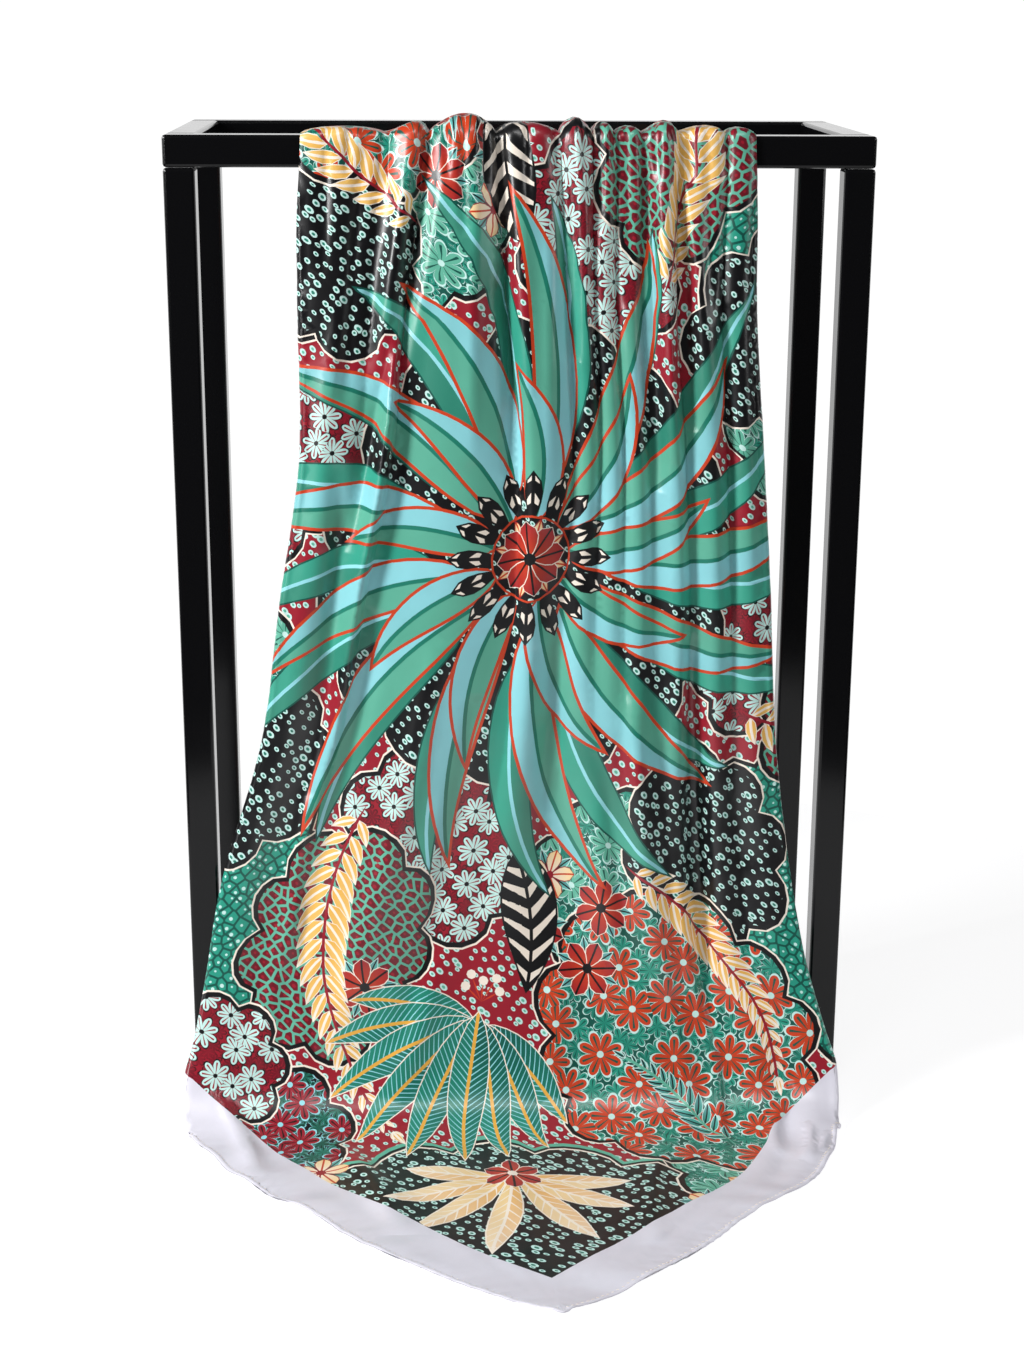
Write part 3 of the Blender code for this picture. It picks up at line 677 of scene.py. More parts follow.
def wrinkles(across: Array, run: Array) -> Array:
    """Fine wrinkles that are the cloth's own, along the hem, and a slight unevenness."""
    u = (run + across) / math.sqrt(2)
    v = (run - across) / math.sqrt(2)
    total = np.zeros(run.shape)
    for along, away, phase in zip((u, v, u, v), (v, u, SIDE - v, SIDE - u), HEM_PHASES):
        away = np.maximum(away, 0.0)
        wander = 2 * np.sin(along * BEAT_WANDER_PITCH + phase)
        beat = 0.5 + 0.5 * np.sin(along * BEAT_PITCH + phase * 3 + wander)
        for height, fade, slant, pitch, swing, slow, rest, share in HEM_WRINKLES:
            near = np.exp(-((away / fade) ** HEM_FADE))
            wave = np.sin((along + slant * away) * pitch + swing * np.sin(along * slow + phase))
            total += height * near * (rest + share * beat) * (1 + wave)
    warp = np.sin(u * 118 + 2.2 * np.sin(v * 37))
    weft = np.sin(v * 97 + 1.7 * np.sin(u * 29 + 1.0))
    return total + UNEVENNESS * (1 + warp * weft)


class Shade(Enum):
    """The colours of the print and the cloth, as sRGB hex."""

    CRIMSON = "931829"
    DEEP_CRIMSON = "6B1120"
    ORANGE = "C43E1D"
    GOLD = "E3A945"
    STRAW = "EBC77E"
    CREAM = "EFE4D6"
    BLACK = "0C0C0F"
    DEEP_TEAL = "0D5146"
    TEAL = "1B7562"
    GREEN = "27957F"
    SEA = "5FAE96"
    AQUA = "8FD3DC"
    MIST = "BFE3DD"
    LILAC = "D9D7E2"


def linear(shade: Shade) -> tuple[float, float, float, float]:
    """A shade as linear RGBA."""
    parts = [int(shade.value[k : k + 2], 16) / 255 for k in (0, 2, 4)]
    turned = [c / 12.92 if c <= 0.04045 else ((c + 0.055) / 1.055) ** 2.4 for c in parts]
    return (*turned, 1.0)


class Filling(Enum):
    """What is drawn inside a motif."""

    VEINS = 0.0
    SEEDS = 1.0
    PEBBLES = 2.0
    FLOWERS = 3.0


@dataclass(frozen=True)
class Ink:
    """How one motif is printed. Its lines are in millimetres."""

    left: Shade
    right: Shade | None = None
    tip: Shade | None = None
    grade: float = 0.0  # how much of the tip's colour the far end takes
    inner: Shade = Shade.CREAM  # veins, dots or cells
    line: Shade = Shade.CREAM  # outline
    rib: Shade = Shade.GOLD
    filling: Filling = Filling.VEINS
    spacing: float = 5.0
    share: float = 0.0
    slope: float = 0.8
    outline: float = 0.0
    rib_width: float = 0.0


class PrintDesign:
    """The printed design: layers of flat motifs, four times round the middle of the square.

    In a quarter, a place is given by how far out it lies from the middle towards the corner and how
    far to the right of that line. A heading of 0 points out to the corner, in degrees.
    """

    def __init__(self) -> None:
        """Starts with nothing printed."""
        self.points: list[Place] = []
        self.faces: list[tuple[int, ...]] = []
        self.inks: list[Ink] = []
        self.marks: list[tuple] = []  # along, across, from the edge and share of length, at 3 points
        self.edges: list[tuple[int, int, int]] = []  # two points and their motif
        self.motifs: list[int] = []  # the motif of each face
        self.count = 0
        self.quarter = 0

    def spot(self, out: float, right: float) -> Place:
        """A place of this quarter, as across and along the diagonal from the square's middle."""
        turn = self.quarter * math.pi / 2
        x, y = right, -out
        return (x * math.cos(turn) - y * math.sin(turn), x * math.sin(turn) + y * math.cos(turn))

    def patch(self, outline: list[Place], ink: Ink) -> None:
        """Prints one flat area, given by its outline."""
        first = len(self.points)
        self.points += [self.spot(*p) for p in outline]
        count = len(outline)
        self.faces.append(tuple(range(first, first + count)))
        self.edges += [(first + k, first + (k + 1) % count, self.count) for k in range(count)]
        self.inks.append(ink)
        self.marks.append(((0.0, 1e3, 1e3, 0.0),) * 3)
        self.motifs.append(self.count)
        self.count += 1

    def layers(self) -> BVHTree:
        """The printed areas, stacked in the order of printing."""
        corners = []
        faces = []
        for level, face in enumerate(self.faces):
            faces.append(tuple(range(len(corners), len(corners) + len(face))))
            corners += [(*self.points[k], level * 1e-4) for k in face]
        return BVHTree.FromPolygons(corners, faces)

    def strip(self, spine: list[Place], halves: list[float], ink: Ink) -> None:
        """Prints a band of changing width along a line, in two halves beside its rib."""
        line = np.array(spine)
        tangent = np.gradient(line, axis=0)
        tangent /= np.maximum(np.linalg.norm(tangent, axis=1, keepdims=True), 1e-9)
        across = np.stack([-tangent[:, 1], tangent[:, 0]], axis=1)
        lengths = np.concatenate([[0.0], np.cumsum(np.linalg.norm(np.diff(line, axis=0), axis=1))]) / MM
        first = len(self.points)
        marks = []
        for place, side, half, along in zip(line, across, halves, lengths):
            for step in (-1, 0, 1):
                self.points.append(self.spot(*(place + side * half * step)))
                width = half / MM
                marks.append((along, step * width, width * (1 - abs(step)), along / lengths[-1]))
        lines = (0, 1, 2) if ink.right or ink.rib_width or ink.share else (0, 2)
        for index in range(len(line) - 1):
            near = first + 3 * index
            self.edges += [(near + k, near + k + 3, self.count) for k in lines]
            for step in (0, 1):
                corners = (near + step, near + step + 3, near + step + 4, near + step + 1)
                halves_here = (halves[index], halves[index + 1])
                triangles = [(corners[0], corners[1], corners[2]), (corners[0], corners[2], corners[3])]
                if halves_here[0] <= 0:
                    triangles = [(near + 1, corners[1], corners[2])]
                if halves_here[1] <= 0:
                    triangles = [(corners[0], near + 4, corners[3])]
                for triangle in triangles:
                    self.faces.append(triangle)
                    shade = ink.left if step == 0 or ink.right is None else ink.right
                    self.inks.append(replace(ink, left=shade))
                    self.marks.append(tuple(marks[k - first] for k in triangle))
                    self.motifs.append(self.count)
        self.count += 1

    def blade(
        self,
        out: float,
        right: float,
        heading: float,
        length: float,
        width: float,
        ink: Ink,
        bend: float = 0.0,
        fullest: float = 0.42,
        steps: int = 12,
        lobes: float = 0.0,
        blunt: float = 0.0,
    ) -> list[Place]:
        """Prints a leaf, petal or blade.

        Args:
            out: Where its root is.
            right: Where its root is.
            heading: Which way it starts out, in degrees.
            length: How long it is.
            width: How wide it is.
            ink: How it is printed.
            bend: How far it turns over its length, in degrees.
            fullest: Share of the length at which it is widest.
            steps: How many lengths it is made of.
            lobes: Number of lobes down each side.
            blunt: How round its tip is, from 0 to 1.

        Returns:
            Its rib, from root to tip.
        """
        spine = [(out, right)]
        shares = [k / steps for k in range(steps + 1)]
        for t in shares[1:]:
            angle = math.radians(heading + bend * (t - 0.5 / steps))
            last = spine[-1]
            spine.append(
                (last[0] + math.cos(angle) * length / steps, last[1] + math.sin(angle) * length / steps)
            )
        power = math.log(0.5) / math.log(fullest)
        halves = []
        for t in shares:
            half = width / 2 * math.sin(math.pi * t**power) ** (0.85 - 0.4 * blunt)
            if lobes:
                half *= 1 - 0.30 * abs(math.sin(math.pi * lobes * t))
            halves.append(max(half, 0.0) if 0 < t < 1 else 0.0)
        self.strip(spine, halves, ink)
        return spine

    def ribbon(self, spine: list[Place], width: float, ink: Ink) -> None:
        """Prints a line of even width that ends in points."""
        halves = [width / 2] * len(spine)
        halves[0] = halves[-1] = 0.0
        self.strip(spine, halves, ink)

    def disc(self, out: float, right: float, radius: float, ink: Ink, sides: int = 10) -> None:
        """Prints a round spot."""
        turns = [k * math.tau / sides for k in range(sides)]
        self.patch([(out + radius * math.cos(t), right + radius * math.sin(t)) for t in turns], ink)

    def flower(
        self,
        out: float,
        right: float,
        radius: float,
        petals: int,
        turn: float,
        ink: Ink,
        eye: Ink,
        leaf: Ink | None,
    ) -> None:
        """Prints a small open flower with leaves between its petals."""
        headings = [turn + k * 360 / petals for k in range(petals)]
        for heading in headings if leaf else ():
            self.blade(out, right, heading + 180 / petals, radius * 1.12, radius * 0.42, leaf, steps=4)
        for heading in headings:
            self.blade(out, right, heading, radius, radius * 0.62, ink, fullest=0.62, steps=5, blunt=0.6)
        self.disc(out, right, radius * 0.17, eye, sides=8)

    def fern(
        self,
        out: float,
        right: float,
        heading: float,
        length: float,
        bend: float,
        leaflet: float,
        ink: Ink,
        stem: Ink,
    ) -> None:
        """Prints a frond: a bent stem with leaflets that shorten towards its tip."""
        count = int(length / (leaflet * 0.36))
        place = [out, right]
        spine = [tuple(place)]
        for k in range(1, count + 1):
            t = k / count
            angle = heading + bend * t
            place[0] += math.cos(math.radians(angle)) * length / count
            place[1] += math.sin(math.radians(angle)) * length / count
            spine.append(tuple(place))
            size = leaflet * (1 - 0.72 * t**1.6) * min(1.0, 0.55 + 1.6 * t)
            for side in (-1, 1):
                tilt = side * (58 - 22 * t)
                self.blade(place[0], place[1], angle + tilt, size, size * 0.36, ink, bend=-side * 22, steps=4)
        self.blade(place[0], place[1], heading + bend, leaflet * 0.5, leaflet * 0.16, ink, steps=4)
        self.ribbon(spine[:: max(1, count // 14)] + [spine[-1]], 2.0 * MM, stem)

    def cloud(
        self,
        out: float,
        right: float,
        radius: float,
        lobes: int,
        depth: float,
        inks: list[tuple[float, Ink]],
        swell: float = 0.0,
        turn: float = 0.0,
    ) -> None:
        """Prints an area with round lobes, in rims one inside another.

        Args:
            out: Its middle.
            right: Its middle.
            radius: Its radius to the bottom of the lobes.
            lobes: How many lobes it has.
            depth: How far they stand out.
            inks: How much wider each rim is, in millimetres, and its ink.
            swell: How oval it is.
            turn: Which way its long side points, in degrees.
        """
        steps = 6
        for grow, ink in inks:
            outline = []
            for k in range(lobes * steps):
                angle = math.tau * k / (lobes * steps)
                lobe = abs(math.sin(math.pi * k / steps)) ** 0.7
                far = radius * (1 + swell * math.cos(2 * angle)) + depth * lobe + grow * MM
                heading = angle + math.radians(turn)
                outline.append((out + far * math.cos(heading), right + far * math.sin(heading)))
            self.patch(outline, ink)

    def berries(self, out: float, right: float, heading: float, count: int, ink: Ink, stem: Ink) -> None:
        """Prints a sprig of berries."""
        for k in range(count):
            angle = math.radians(heading + (k - (count - 1) / 2) * 26)
            far = (15 + 5 * (k % 2)) * MM
            end = (out + far * math.cos(angle), right + far * math.sin(angle))
            self.ribbon([(out, right), ((out + end[0]) / 2, (right + end[1]) / 2), end], 1.2 * MM, stem)
            self.disc(*end, 3.4 * MM, ink, sides=8)


GROUND_CRIMSON = Ink(
    Shade.CRIMSON, inner=Shade.MIST, rib=Shade.SEA, filling=Filling.SEEDS, spacing=6.2, share=0.29, slope=0.70
)
GROUND_BLACK = replace(GROUND_CRIMSON, left=Shade.BLACK, rib=Shade.TEAL, spacing=5.6, share=0.30, slope=0.62)
GROUND_TEAL = Ink(
    Shade.GREEN,
    inner=Shade.DEEP_TEAL,
    rib=Shade.MIST,
    filling=Filling.PEBBLES,
    spacing=7.0,
    share=0.11,
    slope=1.0,
)
GROUND_WINE = replace(
    GROUND_TEAL,
    left=Shade.DEEP_CRIMSON,
    inner=Shade.SEA,
    rib=Shade.CRIMSON,
    spacing=6.0,
    share=0.13,
    slope=0.75,
)
MEADOW = Ink(
    Shade.GREEN,
    inner=Shade.ORANGE,
    line=Shade.MIST,
    rib=Shade.DEEP_TEAL,
    filling=Filling.FLOWERS,
    spacing=30.0,
    slope=1.0,
)
MEADOW_RED = replace(
    MEADOW, left=Shade.TEAL, inner=Shade.CRIMSON, line=Shade.AQUA, rib=Shade.BLACK, spacing=25.0
)
FOLIAGE = replace(MEADOW, inner=Shade.SEA, spacing=22.0, slope=0.7)
STARS = replace(
    MEADOW, left=Shade.DEEP_CRIMSON, inner=Shade.MIST, line=Shade.BLACK, rib=Shade.CRIMSON, spacing=20.0
)
PLAIN_BLACK, PLAIN_CREAM, PLAIN_SEA, PLAIN_CRIMSON, PLAIN_ORANGE, BORDER_INK = (
    Ink(shade) for shade in (Shade.BLACK, Shade.CREAM, Shade.SEA, Shade.CRIMSON, Shade.ORANGE, Shade.LILAC)
)
BLADE = Ink(
    Shade.AQUA, Shade.SEA, Shade.TEAL, 0.30, line=Shade.ORANGE, rib=Shade.TEAL, outline=2.2, rib_width=1.4
)
BLADE_DARK = Ink(
    Shade.GREEN, Shade.TEAL, Shade.SEA, 0.4, line=Shade.DEEP_TEAL, rib=Shade.AQUA, outline=1.2, rib_width=1.2
)
LEAF = Ink(
    Shade.TEAL,
    Shade.DEEP_TEAL,
    Shade.GREEN,
    0.6,
    inner=Shade.AQUA,
    spacing=4.6,
    share=0.24,
    slope=0.9,
    outline=0.8,
    rib_width=1.2,
)
STRIPED = Ink(
    Shade.BLACK,
    line=Shade.BLACK,
    rib=Shade.BLACK,
    spacing=15.0,
    share=0.46,
    slope=0.7,
    outline=1.4,
    rib_width=1.2,
)
FROND = Ink(Shade.GOLD, tip=Shade.STRAW, grade=0.8, rib=Shade.CREAM, outline=0.55, rib_width=0.9)
PETAL = Ink(
    Shade.ORANGE,
    tip=Shade.CRIMSON,
    grade=0.9,
    inner=Shade.DEEP_CRIMSON,
    rib=Shade.BLACK,
    outline=0.7,
    rib_width=0.7,
)
PETAL_PALE = Ink(
    Shade.CREAM, tip=Shade.STRAW, grade=0.9, line=Shade.CRIMSON, rib=Shade.ORANGE, outline=0.7, rib_width=0.6
)
LEAFLET = Ink(
    Shade.GREEN, Shade.TEAL, Shade.AQUA, 0.5, line=Shade.MIST, rib=Shade.BLACK, outline=0.6, rib_width=0.5
)
CORNER_PETAL = Ink(
    Shade.STRAW,
    Shade.GOLD,
    Shade.CREAM,
    0.6,
    rib=Shade.CREAM,
    spacing=9.0,
    share=0.18,
    slope=-1.4,
    outline=0.9,
    rib_width=0.9,
)
RIMS = [(5.0, PLAIN_CREAM), (3.6, PLAIN_BLACK)]

# Single flowers: how far out, how far right, turn
BRIGHT_FLOWERS = ((0.262, 0.020, 10), (0.290, 0.055, 33), (0.246, 0.068, 50), (0.300, -0.100, 5))
PALE_FLOWERS = ((0.225, 0.030, 20), (0.480, 0.128, 12), (0.455, -0.128, 40), (0.505, 0.098, 0))

# Lobed fields: how far out, how far right, radius, lobes, their depth, what fills it, swell, turn
FIELDS = (
    (0.200, -0.055, 0.056, 8, 0.011, STARS, 0.18, 40),
    (0.225, 0.070, 0.050, 8, 0.011, FOLIAGE, 0.20, -40),
    (0.270, -0.120, 0.062, 9, 0.012, GROUND_WINE, 0.16, -20),
    (0.205, 0.150, 0.056, 8, 0.012, GROUND_BLACK, 0.12, 30),
    None,  # the corner's own field
    (0.475, 0.150, 0.050, 9, 0.010, FOLIAGE, 0.20, 60),
    (0.345, 0.118, 0.092, 12, 0.013, MEADOW, 0.10, 24),
    (0.420, -0.175, 0.052, 9, 0.011, MEADOW_RED, 0.10, -30),
    (0.352, -0.200, 0.034, 7, 0.009, STARS, 0.10, 10),
)
CORNER_RIMS = [(12.0, PLAIN_SEA), (8.0, PLAIN_BLACK), (5.0, PLAIN_CREAM), (3.2, GROUND_BLACK)]


def draw_grounds(design: PrintDesign) -> None:
    """Prints the areas that lie under the motifs."""
    design.patch([(REACH, 0), (0, REACH), (-REACH, 0), (0, -REACH)], GROUND_CRIMSON)
    for design.quarter in range(4):
        design.cloud(0.245, 0.245, 0.100, 11, 0.015, [*RIMS, (0.0, GROUND_TEAL)], 0.14, 45)
    for design.quarter in range(4):
        for field_here in FIELDS:
            if field_here is None:
                design.cloud(0.575, -0.020, 0.140, 17, 0.014, CORNER_RIMS)
                continue
            *shape, ink, swell, turn = field_here
            design.cloud(*shape, [*RIMS, (0.0, ink)], swell, turn)
    design.cloud(0.0, 0.0, 0.142, 15, 0.014, [*RIMS, (0.0, GROUND_BLACK)])


def draw_fronds(design: PrintDesign) -> None:
    """Prints what grows between the middle and the corners."""
    for design.quarter in range(4):
        for radius, petals, ink, eye, places in (
            (0.021, 6, PETAL, PLAIN_BLACK, BRIGHT_FLOWERS),
            (0.018, 5, PETAL_PALE, PLAIN_CRIMSON, PALE_FLOWERS),
        ):
            for out, right, turn in places:
                design.flower(out, right, radius, petals, turn, ink, eye, LEAFLET)
        design.fern(0.170, -0.105, -28, 0.250, 62, 0.034, FROND, PLAIN_CRIMSON)
        design.fern(0.215, 0.085, 62, 0.190, -52, 0.030, FROND, PLAIN_CRIMSON)
        design.fern(0.425, 0.145, -160, 0.100, 40, 0.022, LEAFLET, PLAIN_SEA)
        for root, heading, length, bend in (
            (0.335, -128, 0.096, 44),
            (0.330, -104, 0.112, 38),
            (0.328, 52, 0.094, -24),
            (0.326, -80, 0.122, 32),
            (0.325, 30, 0.108, -16),
            (0.324, -57, 0.130, 26),
            (0.322, 9, 0.118, -8),
            (0.320, -34, 0.130, 18),
            (0.318, -12, 0.126, 8),
        ):
            design.blade(root, -0.022, heading, length, 0.028, LEAF, bend=bend)
        design.blade(0.205, 0.004, 24, 0.104, 0.040, STRIPED, bend=-40, steps=14)
        design.berries(0.312, -0.020, 170, 5, PLAIN_CREAM, PLAIN_ORANGE)


def draw_middle(design: PrintDesign) -> None:
    """Prints the blades that turn out from the middle, the lower ones first, and the flower on them."""
    design.quarter = 0
    tiers = (
        (17, 0.186, 0.031, 0.064, BLADE_DARK),
        (13, 0.196, 0.036, 0.040, BLADE),
        (9, 0.120, 0.031, 0.026, BLADE),
    )
    for tier, (count, length, width, start, ink) in enumerate(tiers):
        for k in range(count):
            turn = 360 * k / count + 9 * tier
            angle = math.radians(turn)
            uneven = 1 + 0.10 * math.sin(2.3 * k + tier)
            place = (start * math.cos(angle), start * math.sin(angle))
            design.blade(*place, turn - 16, length * uneven, width, ink, bend=52, fullest=0.38, steps=16)
    for k in range(16):
        turn = 360 * k / 16
        angle = math.radians(turn)
        place = (0.024 * math.cos(angle), 0.024 * math.sin(angle))
        design.blade(*place, turn, 0.036, 0.013, STRIPED, fullest=0.6, steps=5, blunt=0.5)
    design.disc(0.0, 0.0, 0.030, PLAIN_ORANGE, 20)
    design.disc(0.0, 0.0, 0.0285, GROUND_BLACK, 20)
    design.flower(0.0, 0.0, 0.026, 8, 10, PETAL, PLAIN_BLACK, PETAL_PALE)


def draw_corners(design: PrintDesign) -> None:
    """Prints each corner's own spray."""
    for design.quarter in range(4):
        for heading, length in (
            (-84, 0.066),
            (70, 0.070),
            (-58, 0.082),
            (48, 0.080),
            (-34, 0.092),
            (24, 0.092),
            (-6, 0.100),
        ):
            bend = heading * 0.35
            design.blade(0.462, -0.012, heading, length, 0.019, CORNER_PETAL, bend, fullest=0.55, steps=8)
        design.flower(0.462, -0.012, 0.019, 6, 0, PETAL, PLAIN_CREAM, None)


def draw_border(design: PrintDesign) -> None:
    """Leaves the border plain on all four sides."""
    edge = REACH - BORDER * math.sqrt(2)
    for design.quarter in range(4):
        design.patch([(edge, 0), (REACH, 0), (0, REACH), (0, edge)], BORDER_INK)


def draw_design() -> PrintDesign:
    """Prints the whole design, from the ground up."""
    design = PrintDesign()
    for layer in (draw_grounds, draw_fronds, draw_middle, draw_corners, draw_border):
        layer(design)
    return design


@dataclass
class Cut:
    """The flat square in triangles, along the lines of the print."""

    flat: Array  # across and run of each point
    faces: Array
    top: Array  # the printed area that each triangle shows
    rim: list[tuple[int, int]]  # the edges at the hem, in the triangles' own direction


def doubled_area(a: Array, b: Array, c: Array) -> Array:
    """Twice the area of flat triangles, below 0 where they turn clockwise."""
    first, second = b - a, c - a
    return first[..., 0] * second[..., 1] - first[..., 1] * second[..., 0]


def top_of(layers: BVHTree, spot: Array) -> int | None:
    """The uppermost printed area at a place on the flat square."""
    return layers.ray_cast((spot[0], spot[1], 20.0), (0.0, 0.0, -1.0))[2]


class SheetCutter:
    """Cuts the flat square into triangles, finely where the cloth bends."""

    def __init__(self, drape: Drape, design: PrintDesign) -> None:
        """Keeps what is to be cut."""
        self.drape = drape
        self.design = design
        self.taken: set[tuple[int, int]] = set()
        self.grid: list[Place] = []
        self.lines: list[list[Place]] = []

    def add(self, across: float, run: float, room: float) -> None:
        """Adds a point where none is near yet."""
        cell = (round(across / room), round(run / room))
        if cell not in self.taken:
            self.taken.add(cell)
            self.grid.append((across, run - REACH))

    def flat_at(self, side: int, station: Array, run: float) -> Array:
        """How far across the flat square some stations lie."""
        drape = self.drape
        row = np.interp(run, drape.rows, np.arange(len(drape.rows)))
        low = min(int(row), len(drape.rows) - 2)
        table = drape.forward[side]
        near = table[low] * (1 - row + low) + table[low + 1] * (row - low)
        return side * np.interp(station, drape.stations, near) * min(run, DIAGONAL - run)

    def flat_of(self, share: float, run: float) -> float:
        """How far across the flat square a share of the front's width lies."""
        return self.flat_at(-1 if share < 0 else 1, np.array([abs(share)]), run)[0]

    def flap_width(self, side: int, run: float) -> float:
        """How wide the cloth folded in behind is on one side."""
        return np.interp(run, self.drape.rows, self.drape.flap_widths[side])

    def runs(self) -> Array:
        """The rows: closer where the cloth turns."""
        starts = self.drape.course.starts
        pieces = [np.linspace(*stretch) for stretch in zip(starts, starts[1:], STRETCH_ROWS)]
        return np.unique(np.concatenate(pieces).round(6))

    def lay_grid(self) -> None:
        """Lays points on the front and on the flaps, in rows."""
        drape = self.drape
        creases = np.array([k + step for k in range(len(CREASES) - 1) for step in PLEAT_COLUMNS])
        for index, run in enumerate(self.runs()):
            if run <= 0 or run >= DIAGONAL:
                continue
            along = np.array([run])
            places = np.array([drape.at_level(row, along)[0] for row in CREASES])
            for share in np.interp(creases, np.arange(len(CREASES)), places):
                self.add(self.flat_of(share, run), run, GRID_ROOM)
            for side in (-1, 1):
                width = self.flap_width(side, run)
                if width <= LEAST_FLAP:
                    continue
                for across in self.flat_at(side, np.linspace(1, 2, FOLD_COLUMNS + 1), run):
                    self.add(across, run, FOLD_ROOM)
                if index % 2 == 0:
                    columns = max(2, int(width / FLAP_SPACING))
                    for across in self.flat_at(side, np.linspace(2, 3, columns + 1)[1:-1], run):
                        self.add(across, run, GRID_ROOM)

    def lay_hem(self) -> None:
        """Lays rings of points along the hem."""
        for t in np.linspace(0, 1, HEM_POINTS)[1:-1]:
            for inset in HEM_RINGS:
                for u, v in ((t, 0), (0, t), (t, 1), (1, t)):
                    u, v = (inset + along * (SIDE - 2 * inset) for along in (u, v))
                    self.add(*by_diagonal(u, v), HEM_ROOM)

    def lay_fine_folds(self) -> None:
        """Lays a line down the middle of each fine crease, and points beside it."""
        for _, start, start_x, end, end_x, bow, half, _ in FINE_FOLDS:
            steps = max(4, int(abs(end - start) / FINE_FOLD_STEP))
            line = []
            for t in np.arange(steps + 1) / steps:
                run = start + (end - start) * t
                left, right = (edge[0] for edge in self.drape.edges(np.array([run])))
                middle = (start_x + (end_x - start_x) * t + bow * math.sin(math.pi * t)) * MM
                for step in FINE_FOLD_PLACES:
                    share = (middle + step * half * MM - (left + right) / 2) / ((right - left) / 2)
                    if abs(share) < 0.98:
                        across = self.flat_of(share, run)
                        if step:
                            self.add(across, run, GRID_ROOM)
                        elif abs(across) < min(run, DIAGONAL - run) - 2 * MM:
                            line.append((across, run - REACH))
            self.lines.append(line)

    def lay_creases(self) -> None:
        """Lays lines down the folds at the sides, and one down each crease between two pleats."""
        for side in (-1, 1):
            for station in FOLD_LINES:
                line = []
                for run in np.arange(*FOLD_RUNS):
                    if self.flap_width(side, run) > 5 * MM:
                        line.append((self.flat_at(side, np.array([station]), run)[0], run - REACH))
                self.lines.append(line)
        for row in CREASES[1:-1]:
            line = []
            for run in np.arange(*CREASE_RUNS):
                share = self.drape.at_level(row, np.array([run]))[0]
                line.append((self.flat_of(share, run), run - REACH))
            self.lines.append(line)

    def split(self, points: list[Place], edges: list[tuple[int, int]]) -> list[tuple[int, int]]:
        """Splits the lines that would cut across a bend of the hung cloth.

        Args:
            points: Their ends, to which the new points are added.
            edges: The lines.

        Returns:
            The lines, split where they need it.
        """
        flat = np.array(points)
        ends = flat[np.array(edges)]
        steps = np.linspace(0, 1, 5)[None, :, None]
        samples = ends[:, :1] * (1 - steps) + ends[:, 1:] * steps
        hung = self.drape.hung(samples[..., 0].reshape(-1), samples[..., 1].reshape(-1) + REACH)
        hung = hung.reshape(*samples.shape[:2], 3)
        straight = hung[:, :1] * (1 - steps) + hung[:, -1:] * steps
        bent = np.linalg.norm(hung - straight, axis=-1).max(axis=1)
        lengths = np.linalg.norm(ends[:, 1] - ends[:, 0], axis=-1)
        parts = np.ceil(np.minimum(np.sqrt(bent / BEND_TOLERANCE), lengths / SHORTEST_PART))
        parts = np.maximum(parts, np.ceil(lengths / LONGEST_PART)).astype(int)
        result = []
        for (first, second), (start, end), count in zip(edges, ends, parts):
            near = first
            for k in range(1, count):
                points.append(tuple(start + (end - start) * k / count))
                result.append((near, len(points) - 1))
                near = len(points) - 1
            result.append((near, second))
        return result

    def shown_edges(self, layers: BVHTree) -> list[tuple[int, int]]:
        """The lines of the design that no later motif covers, inside the square."""
        design = self.design
        points = np.array(design.points)
        shown = []
        for first, second, motif in design.edges:
            start, end = points[first], points[second]
            along = end - start
            length = math.hypot(*along)
            if length < LEAST_EDGE or abs(start).sum() > REACH + MM or abs(end).sum() > REACH + MM:
                continue
            beside = np.array([-along[1], along[0]]) / length * BESIDE
            spots = [start + along * t + beside * side for t in LOOKS for side in (1, -1)]
            seen = (top_of(layers, spot) for spot in spots)
            if any(area is not None and design.motifs[area] == motif for area in seen):
                shown.append((first, second))
        return shown

    def cut(self) -> Cut:
        """Cuts the square.

        Returns:
            Its triangles, and what is printed on each.
        """
        self.lay_grid()
        self.lay_fine_folds()
        self.lay_hem()
        self.lay_creases()
        design = self.design
        layers = design.layers()
        edges = self.shown_edges(layers)
        order = {point: k for k, point in enumerate(dict.fromkeys(p for edge in edges for p in edge))}
        points = [tuple(design.points[k]) for k in order]
        edges = self.split(points, [(order[a], order[b]) for a, b in edges])
        for line in self.lines:
            edges += [(len(points) + k, len(points) + k + 1) for k in range(len(line) - 1)]
            points += line
        LOG.info("%d points on lines, %d on the grid", len(points), len(self.grid))
        points = [Vector(p) for p in points + self.grid]
        coords, _, faces, *_ = delaunay_2d_cdt(points, edges, [], 0, 1e-5, False)
        faces = np.array([face for face in faces if len(face) == 3])
        coords = np.array([tuple(c) for c in coords])
        middles = coords[faces].mean(axis=1)
        inside = np.abs(middles).sum(axis=1) < REACH
        faces, middles = faces[inside], middles[inside]
        top = np.array([top_of(layers, middle) or 0 for middle in middles])
        used = np.unique(faces)
        order = np.full(len(coords), -1)
        order[used] = np.arange(len(used))
        flat = coords[used]
        flat[:, 1] += REACH
        faces = order[faces]
        a, b, c = (flat[faces[:, k]] for k in range(3))
        turned = doubled_area(a, b, c) < 0
        faces[turned] = faces[turned][:, ::-1]
        directed = {(int(f[k]), int(f[(k + 1) % 3])) for f in faces for k in range(3)}
        rim = [edge for edge in directed if (edge[1], edge[0]) not in directed]
        LOG.info("the flat sheet has %d points and %d triangles", len(flat), len(faces))
        return Cut(flat, faces, top, sorted(rim))


